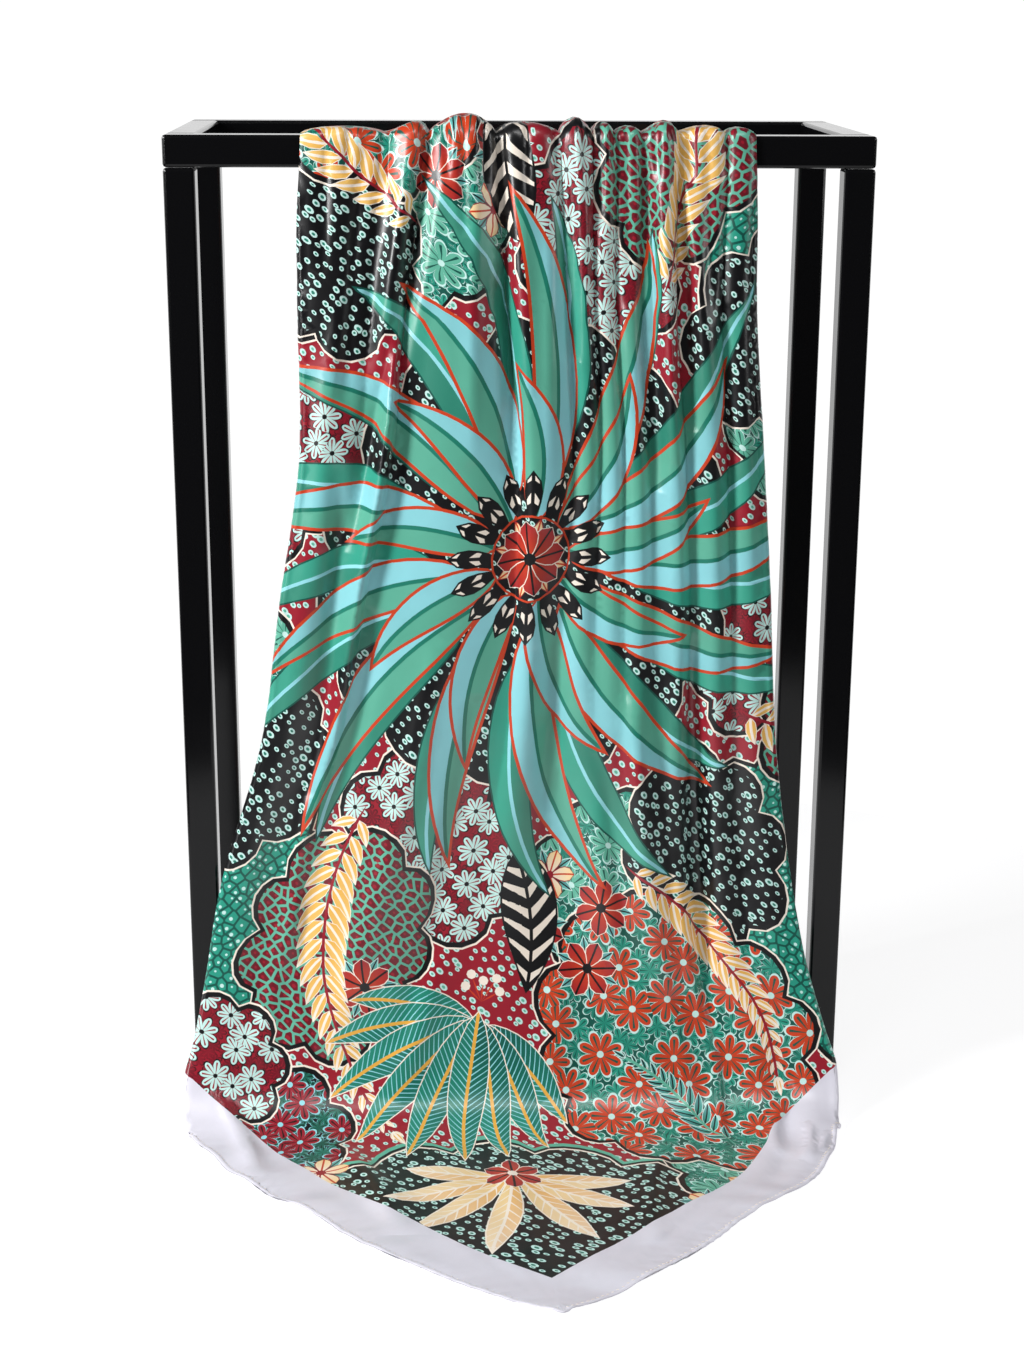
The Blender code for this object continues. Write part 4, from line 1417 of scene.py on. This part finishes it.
class Print:
    """Colours and line drawing for each triangle's corners, from the design."""

    def __init__(self, design: PrintDesign, cut: Cut) -> None:
        """Reads the design at the corners of the cut."""
        corners = cut.flat[cut.faces] - np.array([0.0, REACH])
        points = np.array(design.points)
        areas = np.array([face[:3] for face in design.faces])[cut.top]
        marks = np.array(design.marks, float)[cut.top]
        a, b, c = (points[areas[:, k]][:, None] for k in range(3))
        whole = doubled_area(a, b, c)
        whole = np.where(np.abs(whole) < 1e-14, 1e-14, whole)
        thirds = ((corners, b, c), (a, corners, c), (a, b, corners))
        shares = np.stack([doubled_area(*third) / whole for third in thirds], axis=-1)
        shares = np.clip(shares, -1.5, 2.5)
        place = np.einsum("fks,fsm->fkm", shares, marks)
        constant = marks[:, 0, 1] > 900
        place[constant] = marks[constant]
        inks = design.inks
        unique = list(dict.fromkeys(inks))
        index = np.array([unique.index(ink) for ink in inks])[cut.top]

        def table(value) -> Array:
            """One value for each ink, read for each triangle."""
            return np.array([value(ink) for ink in unique])[index]

        base = table(lambda ink: linear(ink.left))
        tip = table(lambda ink: linear(ink.tip or ink.left))
        grade = table(lambda ink: ink.grade if ink.tip else 0.0)
        blend = np.clip(place[..., 3], 0, 1)[..., None] * grade[:, None, None]
        self.ground = base[:, None] * (1 - blend) + tip[:, None] * blend
        self.place = place[..., :3]
        self.inner, self.line, self.rib = (
            table(lambda ink, part=part: linear(getattr(ink, part))) for part in ("inner", "line", "rib")
        )
        self.pattern = table(lambda ink: (ink.spacing, ink.share, ink.slope))
        self.widths = table(lambda ink: (ink.outline, ink.rib_width, ink.filling.value))


def add_node(tree: Tree, kind: str, inputs: dict | None = None, **settings) -> bpy.types.Node:
    """Adds a node to a material's or the world's tree.

    Args:
        tree: The tree it goes into.
        kind: The node's type.
        inputs: For each input, by name or number, a fixed value or the socket that feeds it.
        settings: The node's own settings.

    Returns:
        The node.
    """
    node = tree.nodes.new(kind)
    for name, value in settings.items():
        setattr(node, name, value)
    connect(tree, node, inputs or {})
    return node


def connect(tree: Tree, node: bpy.types.Node, inputs: dict) -> None:
    """Sets a node's inputs, or links them where the value is a socket."""
    for name, value in inputs.items():
        if isinstance(value, Socket):
            tree.links.new(value, node.inputs[name])
        else:
            node.inputs[name].default_value = value


def pressed(tree: Tree, scale: float, depth: float, strength: float) -> Socket:
    """The normal of a surface pressed by fine noise, on the solid itself."""
    solid = add_node(tree, "ShaderNodeTexCoord").outputs["Object"]
    fine = add_node(tree, "ShaderNodeTexNoise", {"Vector": solid, "Scale": scale, "Detail": 2.0})
    inputs = {"Height": fine.outputs[0], "Distance": depth, "Strength": strength}
    return add_node(tree, "ShaderNodeBump", inputs).outputs[0]


def start_material(name: str) -> tuple[bpy.types.Material, Tree, bpy.types.Node]:
    """A new material, its tree and its shader."""
    material = bpy.data.materials.new(name)
    material.use_nodes = True
    return material, material.node_tree, material.node_tree.nodes["Principled BSDF"]


@dataclass(frozen=True)
class SatinFinish:
    """Printed polyester satin, weft faced on its printed side, so its gloss is broad and silky."""

    roughness: float = 0.31
    sheen: float = 0.05
    specular: float = 0.6
    reverse_fade: float = 0.16  # how much paler the dye is on the reverse
    petals: float = 4.0  # half the number of petals of a printed flower
    petal_size: float = 0.46
    leaves: float = 3.0  # half the number of leaves in a small printed whorl
    leaf_size: float = 0.56
    leaf_scale: float = 2.3  # how much finer than the flowers the whorls are strewn

    def _rosette(self, tree: Tree, vector: Socket, petals: float, size: float) -> dict[str, Socket]:
        """Draws petals round each seed of a strewn pattern, of its own size and turn.

        Args:
            tree: The material's tree.
            vector: The place in the pattern.
            petals: Half the number of petals.
            size: Their length, as a share of the seeds' spacing.

        Returns:
            Masks of its parts by name, and a chance number for each seed.
        """
        cells = {"Vector": vector, "Scale": 1.0, "Randomness": 0.55}
        cell = add_node(tree, "ShaderNodeTexVoronoi", cells, voronoi_dimensions="2D").outputs
        away = add_node(tree, "ShaderNodeVectorMath", {0: vector, 1: cell["Position"]}, operation="SUBTRACT")
        away = add_node(tree, "ShaderNodeSeparateXYZ", {0: away.outputs[0]}).outputs
        chance = add_node(tree, "ShaderNodeSeparateXYZ", {0: cell["Color"]}).outputs
        got = {"x": away[0], "y": away[1], "distance": cell["Distance"]}
        got |= {"chance": chance[0], "turn": chance[1], "growth": chance[2]}
        for name, operation, *terms in (
            ("angle", "ARCTAN2", "y", "x"),
            ("angle", "MULTIPLY", "angle", petals),
            ("angle", "MULTIPLY_ADD", "turn", 3.1, "angle"),
            ("petal", "COSINE", "angle"),
            ("petal", "ABSOLUTE", "petal"),
            ("reach", "POWER", "petal", 0.55),
            ("reach", "MULTIPLY_ADD", "reach", 0.66, 0.34),
            ("size", "MULTIPLY_ADD", "growth", 0.10, size),
            ("reach", "MULTIPLY", "reach", "size"),
            ("petals", "LESS_THAN", "distance", "reach"),
            ("rim", "MULTIPLY_ADD", "reach", 1.05, 0.028),
            ("rim", "LESS_THAN", "distance", "rim"),
            ("vein end", "MULTIPLY", "reach", 0.86),
            ("vein end", "LESS_THAN", "distance", "vein end"),
            ("veins", "GREATER_THAN", "petal", 0.965),
            ("veins", "MULTIPLY", "veins", "vein end"),
            ("veins", "MULTIPLY", "veins", "petals"),
            ("eye", "LESS_THAN", "distance", 0.08),
        ):
            inputs = {slot: got.get(term, term) for slot, term in enumerate(terms)}
            got[name] = add_node(tree, "ShaderNodeMath", inputs, operation=operation).outputs[0]
        return got

    def build(self, name: str, reverse: bool) -> bpy.types.Material:
        """Makes the material of one side of the cloth.

        Args:
            name: Its name.
            reverse: Whether it is the unprinted side, where the dye has come through paler.

        Returns:
            The material.
        """
        material, tree, shader = start_material(name)

        def add(kind: str, inputs: dict | None = None, output: int | str = 0, **settings) -> Socket:
            """Adds a node and returns one of its outputs."""
            return add_node(tree, kind, inputs, **settings).outputs[output]

        flat = add("ShaderNodeUVMap", uv_map="flat_metres")
        got = {}
        for key in ("ground", "inner", "line", "rib"):
            got[key] = add("ShaderNodeAttribute", output="Color", attribute_name=f"print_{key}")
        for key, parts in (
            ("place", ("along", "from rib", "from edge")),
            ("pattern", ("spacing", "share", "slope")),
            ("widths", ("outline", "rib width", "filling")),
        ):
            values = add("ShaderNodeAttribute", output="Color", attribute_name=f"print_{key}")
            got |= zip(parts, add_node(tree, "ShaderNodeSeparateXYZ", {0: values}).outputs)

        # seeds, pebbles and flowers are strewn on the flat cloth, and flowers lie on a bed of whorls
        room = add("ShaderNodeMath", {0: 1000.0, 1: got["spacing"]}, operation="DIVIDE")
        tall = add("ShaderNodeMath", {0: room, 1: got["slope"]}, operation="MULTIPLY")
        stretch = add("ShaderNodeCombineXYZ", {0: room, 1: tall})
        strewn = add("ShaderNodeVectorMath", {0: flat, 1: stretch}, operation="MULTIPLY")
        finer = add("ShaderNodeVectorMath", {0: strewn, "Scale": self.leaf_scale}, operation="SCALE")
        cells = {"Vector": strewn, "Scale": 1.0, "Randomness": 0.72}
        seed = add_node(tree, "ShaderNodeTexVoronoi", cells, voronoi_dimensions="2D").outputs
        got["far"] = seed["Distance"]
        got["chance"] = add("ShaderNodeSeparateXYZ", {0: seed["Color"]})
        got["wall"] = add(
            "ShaderNodeTexVoronoi", cells, voronoi_dimensions="2D", feature="DISTANCE_TO_EDGE"
        )
        for key, vector, petals, size in (
            ("flower", strewn, self.petals, self.petal_size),
            ("leaf", finer, self.leaves, self.leaf_size),
        ):
            rosette = self._rosette(tree, vector, petals, size)
            got |= {f"{key} {part}": socket for part, socket in rosette.items()}

        # the dye lies a little unevenly, and the satin's floats run one way: 0.25 mm yarns, drawn as
        # 0.8 mm grain to survive the picture's scale
        for key, scale, detail in (
            ("uneven", (60, 60, 1), 3.0),
            ("grain", (1250, 260, 1), 2.0),
            ("soft", (24, 24, 1), 2.0),
        ):
            place = add("ShaderNodeMapping", {"Vector": flat, "Scale": scale})
            got[key] = add("ShaderNodeTexNoise", {"Vector": place, "Scale": 1.0, "Detail": detail})

        for key, operation, *terms in (
            # veins slant from the rib and thin out towards the edge
            ("beside", "ABSOLUTE", "from rib"),
            ("beat", "MULTIPLY_ADD", "beside", "slope", "along"),
            ("beat", "DIVIDE", "beat", "spacing"),
            ("beat", "FRACT", "beat"),
            ("half width", "MAXIMUM", "from edge", 0.001),
            ("half width", "ADD", "beside", "half width"),
            ("thin", "DIVIDE", "beside", "half width"),
            ("thin", "MULTIPLY_ADD", "thin", -0.7, 1.12),
            ("thin", "MULTIPLY", "share", "thin"),
            ("veins", "LESS_THAN", "beat", "thin"),
            ("is veins", "COMPARE", "filling", Filling.VEINS.value, 0.2),
            ("veins", "MULTIPLY", "veins", "is veins"),
            # seeds have an eye, and so have pebbles, inside their walls
            ("is seeds", "COMPARE", "filling", Filling.SEEDS.value, 0.2),
            ("is pebbles", "COMPARE", "filling", Filling.PEBBLES.value, 0.2),
            ("is flowers", "COMPARE", "filling", Filling.FLOWERS.value, 0.2),
            ("growth", "MULTIPLY_ADD", "chance", 0.75, 0.80),
            ("far", "MULTIPLY", "far", "growth"),
            ("seeds", "LESS_THAN", "far", "share"),
            ("seeds", "MULTIPLY", "seeds", "is seeds"),
            ("pebbles", "LESS_THAN", "wall", "share"),
            ("pebbles", "MULTIPLY", "pebbles", "is pebbles"),
            ("eye", "MULTIPLY_ADD", "is pebbles", 1.0, 0.45),
            ("eye", "MULTIPLY", "share", "eye"),
            ("eyes", "LESS_THAN", "far", "eye"),
            ("is strewn", "ADD", "is seeds", "is pebbles"),
            ("eyes", "MULTIPLY", "eyes", "is strewn"),
            ("filled", "ADD", "veins", "pebbles"),
            ("filled", "ADD", "seeds", "filled"),
            ("ribs", "MINIMUM", "rib width", "from edge"),
            ("ribs", "LESS_THAN", "beside", "ribs"),
            ("outlines", "LESS_THAN", "from edge", "outline"),
            ("leaf tone", "MULTIPLY", "leaf chance", 0.5),
            ("uneven", "MULTIPLY", "uneven", 0.12),
            ("roughness", "MULTIPLY_ADD", "soft", 0.10, self.roughness - 0.05),
        ):
            inputs = {slot: got.get(term, term) for slot, term in enumerate(terms)}
            got[key] = add("ShaderNodeMath", inputs, operation=operation)

        # each ink is printed through its mask over what lies under it
        for key, mask, under, ink in (
            ("color", "filled", "ground", "inner"),
            ("color", "eyes", "color", "rib"),
            ("leaf", "leaf tone", "ground", "rib"),
            ("bed", "leaf rim", "rib", "line"),
            ("bed", "leaf petals", "bed", "leaf"),
            ("bed", "leaf veins", "bed", "rib"),
            ("bed", "flower rim", "bed", "line"),
            ("bed", "flower petals", "bed", "inner"),
            ("bed", "flower veins", "bed", "rib"),
            ("bed", "flower eye", "bed", "line"),
            ("color", "is flowers", "color", "bed"),
            ("color", "ribs", "color", "rib"),
            ("color", "outlines", "color", "line"),
            ("color", "uneven", "color", (0.0, 0.0, 0.0, 1.0)),
            ("color", self.reverse_fade if reverse else 0.0, "color", linear(Shade.CREAM)),
        ):
            inputs = {slot: got.get(value, value) for slot, value in ((0, mask), (6, under), (7, ink))}
            got[key] = add("ShaderNodeMix", inputs, 2, data_type="RGBA")
        press = {"Height": got["grain"], "Distance": 0.05 * MM, "Strength": 0.7}
        inputs = {
            "Base Color": got["color"],
            "Roughness": got["roughness"],
            "Sheen Weight": self.sheen,
            "Sheen Roughness": 0.35,
            "Specular IOR Level": self.specular,
            "Normal": add("ShaderNodeBump", press),
        }
        connect(tree, shader, inputs)
        return material


@dataclass(frozen=True)
class EnamelFinish:
    """Gloss black enamel, sprayed on steel tube, with a faint orange peel."""

    color: tuple[float, float, float, float] = (0.003, 0.003, 0.0035, 1.0)
    roughness: float = 0.12
    specular: float = 0.22

    def build(self, name: str) -> bpy.types.Material:
        """Makes the material."""
        material, tree, shader = start_material(name)
        solid = add_node(tree, "ShaderNodeTexCoord").outputs["Object"]
        cloud = add_node(tree, "ShaderNodeTexNoise", {"Vector": solid, "Scale": 38.0, "Detail": 4.0})
        rough = {0: cloud.outputs[0], 1: 0.06, 2: self.roughness - 0.03}
        inputs = {
            "Base Color": self.color,
            "Roughness": add_node(tree, "ShaderNodeMath", rough, operation="MULTIPLY_ADD").outputs[0],
            "Specular IOR Level": self.specular,
            "Normal": pressed(tree, 900.0, 0.01 * MM, 0.2),  # orange peel of about 1 mm
        }
        connect(tree, shader, inputs)
        return material


@dataclass(frozen=True)
class ThreadFinish:
    """Hem cloth and spun polyester sewing thread, in the border's pale lilac or cream."""

    shade: Shade = Shade.LILAC
    roughness: float = 0.42

    def build(self, name: str) -> bpy.types.Material:
        """Makes the material."""
        material, tree, shader = start_material(name)
        inputs = {
            "Base Color": linear(self.shade),
            "Roughness": self.roughness,
            "Sheen Weight": 0.15,
            "Normal": pressed(tree, 1400.0, 0.05 * MM, 0.5),
        }
        connect(tree, shader, inputs)
        return material


def add_piece(name: str, data: bpy.types.Mesh, materials: list[bpy.types.Material]) -> bpy.types.Object:
    """Adds a piece at the origin that rides with the part."""
    for material in materials:
        data.materials.append(material)
    piece = bpy.data.objects.new(name, data)
    bpy.context.collection.objects.link(piece)
    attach(piece, "root")
    LOG.info("%s: %d faces", name, len(data.polygons))
    return piece


def to_mesh(name: str, data: bmesh.types.BMesh) -> bpy.types.Mesh:
    """Turns drawn faces into a smooth mesh."""
    mesh = bpy.data.meshes.new(name)
    data.to_mesh(mesh)
    data.free()
    mesh.shade_smooth()
    return mesh


@dataclass
class PrintedSquare:
    """The cloth itself: one thin sheet in one piece."""

    drape: Drape
    finish: SatinFinish = field(default_factory=SatinFinish)

    def build(self) -> bpy.types.Object:
        """Cuts, prints and hangs the sheet."""
        design = draw_design()
        cut = SheetCutter(self.drape, design).cut()
        printed = Print(design, cut)
        points, normals = self.drape.surface(cut.flat[:, 0], cut.flat[:, 1])
        mesh = self._shell(cut, points, normals)
        self._dye(mesh, printed, cut)
        materials = [self.finish.build("satin_printed_face", False), self.finish.build("satin_reverse", True)]
        piece = add_piece("printed_square", mesh, materials)
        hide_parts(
            "scarf_toe",
            "scarf_front",
            "scarf_over_rail",
            "scarf_back_corner",
            "scarf_left_flap",
            "scarf_right_flap",
        )
        return piece

    def _shell(self, cut: Cut, points: Array, normals: Array) -> bpy.types.Mesh:
        """A closed shell about the sheet's middle."""
        count = len(points)
        shell = np.concatenate([points + normals * THICKNESS / 2, points - normals * THICKNESS / 2])
        faces = cut.faces.tolist() + (cut.faces[:, ::-1] + count).tolist()
        faces += [(b, a, a + count, b + count) for a, b in cut.rim]
        data = bpy.data.meshes.new("printed_square")
        data.from_pydata(shell.tolist(), [], faces)
        data.polygons.foreach_set("use_smooth", [True] * len(faces))
        sides = [0] * len(cut.faces) + [1] * len(cut.faces) + [0] * len(cut.rim)
        data.polygons.foreach_set("material_index", sides)
        facing = np.concatenate([normals, -normals])
        data.normals_split_custom_set_from_vertices(facing.tolist())
        return data

    def _dye(self, data: bpy.types.Mesh, printed: Print, cut: Cut) -> None:
        """Writes the print onto the sheet's corners and faces."""
        across, run = cut.flat.T
        flat = np.stack([run + across, run - across], axis=1) / math.sqrt(2)
        rim = np.array([(b, a, a, b) for a, b in cut.rim]).reshape(-1)
        corners = np.concatenate([cut.faces.reshape(-1), cut.faces[:, ::-1].reshape(-1), rim])
        layer = data.uv_layers.new(name="flat_metres")
        layer.data.foreach_set("uv", flat[corners].reshape(-1).astype(np.float32))
        pale = linear(Shade.LILAC)
        for name, values, plain in (
            ("inner", printed.inner, pale),
            ("line", printed.line, pale),
            ("rib", printed.rib, pale),
            ("ground", printed.ground, pale),
            ("place", printed.place, (0, 1e3, 1e3)),
            ("pattern", printed.pattern, (5, 0, 0)),
            ("widths", printed.widths, (0, 0, 0)),
        ):
            size = values.shape[-1]
            by_corner = values.ndim == 3
            reverse = values[:, ::-1] if by_corner else values
            edge = np.tile(np.array(plain, float), (len(cut.rim) * (4 if by_corner else 1), 1))
            whole = np.concatenate([values.reshape(-1, size), reverse.reshape(-1, size), edge])
            kind, field_name = ("FLOAT_COLOR", "color") if size == 4 else ("FLOAT_VECTOR", "vector")
            layer = data.attributes.new(f"print_{name}", kind, "CORNER" if by_corner else "FACE")
            layer.data.foreach_set(field_name, whole.reshape(-1).astype(np.float32))


def around(inset: float, step: float) -> tuple[Array, Array]:
    """Places along all four sides at an inset, and the directions in from the side.

    Args:
        inset: How far in from the hem.
        step: How far apart they are.

    Returns:
        Across and run of each place, and the same for a step inwards.
    """
    length = SIDE - 2 * inset
    count = int(length / step)
    t = inset + np.arange(count) * length / count
    near, far = np.full(count, inset), np.full(count, SIDE - inset)
    back = SIDE - t
    u = np.concatenate([t, far, back, near])
    v = np.concatenate([near, t, far, back])
    zero, one = np.zeros(count), np.ones(count)
    inward_u = np.concatenate([zero, -one, zero, one])
    inward_v = np.concatenate([one, zero, -one, zero])
    for corner in range(4):
        at = corner * count
        inward_u[at], inward_v[at] = ((1, 1), (-1, 1), (-1, -1), (1, -1))[corner]
    return np.stack(by_diagonal(u, v), axis=1), np.stack(by_diagonal(inward_u, inward_v), axis=1)


@dataclass
class RolledHem:
    """The narrow hem, rolled and sewn down on all four sides."""

    drape: Drape
    finish: ThreadFinish = field(default_factory=ThreadFinish)
    step: float = 2.4 * MM
    sides: int = 8

    def build(self) -> bpy.types.Object:
        """Sweeps the hem round the square."""
        inset = HEM_WIDTH / 2 - 0.2 * MM
        places, inwards = around(inset, self.step)
        centre, normal = self.drape.surface(places[:, 0], places[:, 1])
        inner, _ = self.drape.surface(places[:, 0] + inwards[:, 0] * MM, places[:, 1] + inwards[:, 1] * MM)
        across = inner - centre
        across -= normal * (across * normal).sum(-1, keepdims=True)
        across /= np.maximum(np.linalg.norm(across, axis=1, keepdims=True), 1e-9)
        count = len(centre)
        beat = np.arange(count)
        swell = 1 + 0.10 * np.sin(beat * 1.7 + 2 * np.sin(beat * 0.31)) + 0.05 * np.sin(beat * 0.9)
        angles = np.arange(self.sides) * math.tau / self.sides
        rings = (
            centre[:, None]
            + across[:, None] * (np.cos(angles) * HEM_WIDTH / 2)[None, :, None]
            + normal[:, None] * (np.sin(angles)[None, :] * HEM_HEIGHT / 2 * swell[:, None])[..., None]
        )
        rings[..., 2] = np.maximum(rings[..., 2], 0.05 * MM)
        data = bmesh.new()
        first = bmesh.ops.create_circle(data, segments=self.sides, radius=HEM_WIDTH / 2)["verts"]
        verts = first
        edges = list(data.edges)
        for k, ring in enumerate(rings):
            if k:
                grown = bmesh.ops.extrude_edge_only(data, edges=edges)["geom"]
                verts = [item for item in grown if isinstance(item, bmesh.types.BMVert)]
                edges = [item for item in grown if isinstance(item, bmesh.types.BMEdge) and item.is_boundary]
                edges = [edge for edge in edges if all(v in verts for v in edge.verts)]
            for vert, spot in zip(verts, ring):
                vert.co = spot
        ends = [edge for edge in data.edges if edge.is_boundary]
        bmesh.ops.bridge_loops(data, edges=ends)
        bmesh.ops.recalc_face_normals(data, faces=data.faces)
        return add_piece("rolled_hem", to_mesh("rolled_hem", data), [self.finish.build("satin_hem_roll")])


@dataclass
class HemStitches:
    """The thread that holds the hem down, one small slanted stitch after another."""

    drape: Drape
    finish: ThreadFinish = field(default_factory=lambda: ThreadFinish(Shade.CREAM, 0.6))
    spacing: float = 3.6 * MM
    radius: float = 0.22 * MM
    reach: float = 1.1 * MM  # over the hem
    slant: float = 0.9 * MM
    heights: Place = (0.15 * MM, 0.62 * MM)  # of its two ends above the middle of the cloth
    above_floor: float = 0.4 * MM

    def build(self) -> bpy.types.Object:
        """Sews round the square."""
        inset = HEM_WIDTH + 0.1 * MM
        places, inwards = around(inset, self.spacing)
        start, normal = self.drape.surface(places[:, 0], places[:, 1])
        end_flat = places - inwards * self.reach
        end, _ = self.drape.surface(end_flat[:, 0], end_flat[:, 1])
        ahead = np.roll(start, -1, axis=0) - start
        ahead /= np.maximum(np.linalg.norm(ahead, axis=1, keepdims=True), 1e-9)
        data = bmesh.new()
        for k in range(len(start)):
            low = start[k] + normal[k] * self.heights[0]
            high = end[k] + ahead[k] * self.slant + normal[k] * self.heights[1]
            low[2] = max(low[2], self.above_floor)
            high[2] = max(high[2], self.above_floor)
            lie = high - low
            length = np.linalg.norm(lie)
            lie /= length
            side = np.cross(lie, normal[k])
            side /= np.linalg.norm(side)
            up = np.cross(side, lie)
            stretch = Matrix.Identity(4)
            axes = (side * self.radius, up * self.radius, lie * (length / 2 + self.radius), (low + high) / 2)
            for index, axis in enumerate(axes):
                stretch.col[index][:3] = axis
            bmesh.ops.create_icosphere(data, subdivisions=1, radius=1.0, matrix=stretch)
        thread = self.finish.build("polyester_sewing_thread")
        return add_piece("hem_stitches", to_mesh("hem_stitches", data), [thread])


@dataclass
class BoxStand:
    """The frame of square tube, which keeps its solids and gets its finish here."""

    names: tuple[str, ...] = (
        "front_rail",
        "back_rail",
        "left_rail",
        "right_rail",
        "front_left_leg",
        "front_right_leg",
        "back_left_leg",
        "back_right_leg",
    )
    finish: EnamelFinish = field(default_factory=EnamelFinish)

    def dress(self) -> None:
        """Gives the stand's solids their enamel."""
        enamel = self.finish.build("black_gloss_enamel")
        for name in self.names:
            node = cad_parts[name]
            for slot in node.material_slots:
                slot.material = enamel


@dataclass(frozen=True)
class Studio:
    """The photographer's set: camera, white surroundings and large soft lights."""

    position: tuple[float, float, float] = (-0.05895, -1.42901, 0.73933)
    pitch: float = 16.46
    yaw: float = 2.20
    roll: float = -0.267
    lens: float = 60.599
    dim: float = 0.05  # of the room, away from its white
    white_behind: Place = (0.0, 0.55)  # the room turns white between these directions in Y
    white_low: Place = (0.10, 0.34)  # and dim again between these in Z
    floor_radius: float = 0.72
    floor_color: tuple[float, float, float, float] = (0.35, 0.35, 0.36, 1.0)
    floor_glow: float = 0.82
    lights: tuple = (
        # name, place, aim, size, watts
        ("key_left", (-1.50, -0.75, 1.10), (0.0, 0.0, 0.42), (0.34, 1.2), 46.0),
        ("fill_right", (1.55, -0.60, 1.0), (0.0, 0.0, 0.38), (0.3, 1.2), 7.0),
        ("above", (0.1, -0.9, 2.1), (0.0, -0.15, 0.2), (1.2, 0.24), 13.0),
    )

    def camera(self) -> None:
        """Stands the camera where the photo was taken from."""
        pitch, yaw, roll = (math.radians(v) for v in (self.pitch, self.yaw, self.roll))
        level = math.cos(pitch)
        forward = Vector((math.sin(yaw) * level, math.cos(yaw) * level, -math.sin(pitch)))
        right = Vector((math.cos(yaw), -math.sin(yaw), 0.0))
        down = forward.cross(right)
        turned = right * math.cos(roll) + down * math.sin(roll)
        down = down * math.cos(roll) - right * math.sin(roll)
        matrix = Matrix((turned, -down, -forward)).transposed().to_4x4()
        matrix.translation = Vector(self.position)
        data = bpy.data.cameras.new("photo_camera")
        data.sensor_fit = "VERTICAL"
        data.sensor_height = data.sensor_width = 36.0
        data.lens = self.lens
        data.clip_start = 0.05
        item = bpy.data.objects.new("photo_camera", data)
        item.matrix_world = matrix
        bpy.context.collection.objects.link(item)
        bpy.context.scene.camera = item

    def softbox(
        self, name: str, place: tuple[float, float, float], aim: tuple[float, float, float],
        size: Place, power: float,
    ) -> None:
        """Adds a large flat light."""
        data = bpy.data.lights.new(name, "AREA")
        data.shape = "RECTANGLE"
        data.size, data.size_y = size
        data.energy = power
        item = bpy.data.objects.new(name, data)
        item.location = place
        item.rotation_euler = (Vector(aim) - Vector(place)).to_track_quat("-Z", "Y").to_euler()
        item.visible_camera = False
        bpy.context.collection.objects.link(item)

    def surroundings(self) -> None:
        """A room that is white low down behind the part, and dim elsewhere."""
        world = bpy.data.worlds.new("white_set")
        world.use_nodes = True
        tree = world.node_tree
        toward = add_node(tree, "ShaderNodeTexCoord").outputs["Generated"]
        parts = add_node(tree, "ShaderNodeSeparateXYZ", {0: toward}).outputs
        inputs = {2: self.dim}
        for slot, part, (near, far) in ((0, parts[1], self.white_behind), (1, parts[2], self.white_low)):
            ramp = {"Value": part, "From Min": near, "From Max": far, "To Min": slot, "To Max": 1 - slot}
            node = add_node(tree, "ShaderNodeMapRange", ramp, interpolation_type="SMOOTHSTEP")
            inputs[slot] = node.outputs[0]
        strength = add_node(tree, "ShaderNodeMath", inputs, operation="MULTIPLY_ADD").outputs[0]
        connect(tree, tree.nodes["Background"], {"Color": (1.0, 1.0, 1.0, 1.0), "Strength": strength})
        bpy.context.scene.world = world

    def floor(self) -> None:
        """A round pale floor."""
        mesh = bmesh.new()
        bmesh.ops.create_circle(mesh, cap_ends=True, segments=128, radius=self.floor_radius)
        data = bpy.data.meshes.new("white_floor")
        mesh.to_mesh(data)
        mesh.free()
        item = bpy.data.objects.new("white_floor", data)
        bpy.context.collection.objects.link(item)
        material, tree, shader = start_material("matt_white_floor")
        inputs = {
            "Base Color": self.floor_color,
            "Roughness": 0.9,
            "Specular IOR Level": 0.0,
            "Emission Color": (1.0, 1.0, 1.0, 1.0),
            "Emission Strength": self.floor_glow,
        }
        connect(tree, shader, inputs)
        data.materials.append(material)

    def build(self) -> None:
        """Lights the set."""
        bpy.context.scene.view_settings.view_transform = "Standard"
        self.surroundings()
        self.floor()
        for light in self.lights:
            self.softbox(*light)


def main() -> None:
    """Builds the scene."""
    logging.basicConfig(level=logging.INFO, format="%(message)s")
    studio = Studio()
    studio.camera()
    low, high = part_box("front_rail")
    drape = Drape((low.x + high.x) / 2, low.y, high.z, high.y - low.y)
    BoxStand().dress()
    square = PrintedSquare(drape).build()
    hem = RolledHem(drape).build()
    stitches = HemStitches(drape).build()
    studio.build()


if __name__ == "__main__":
    main()
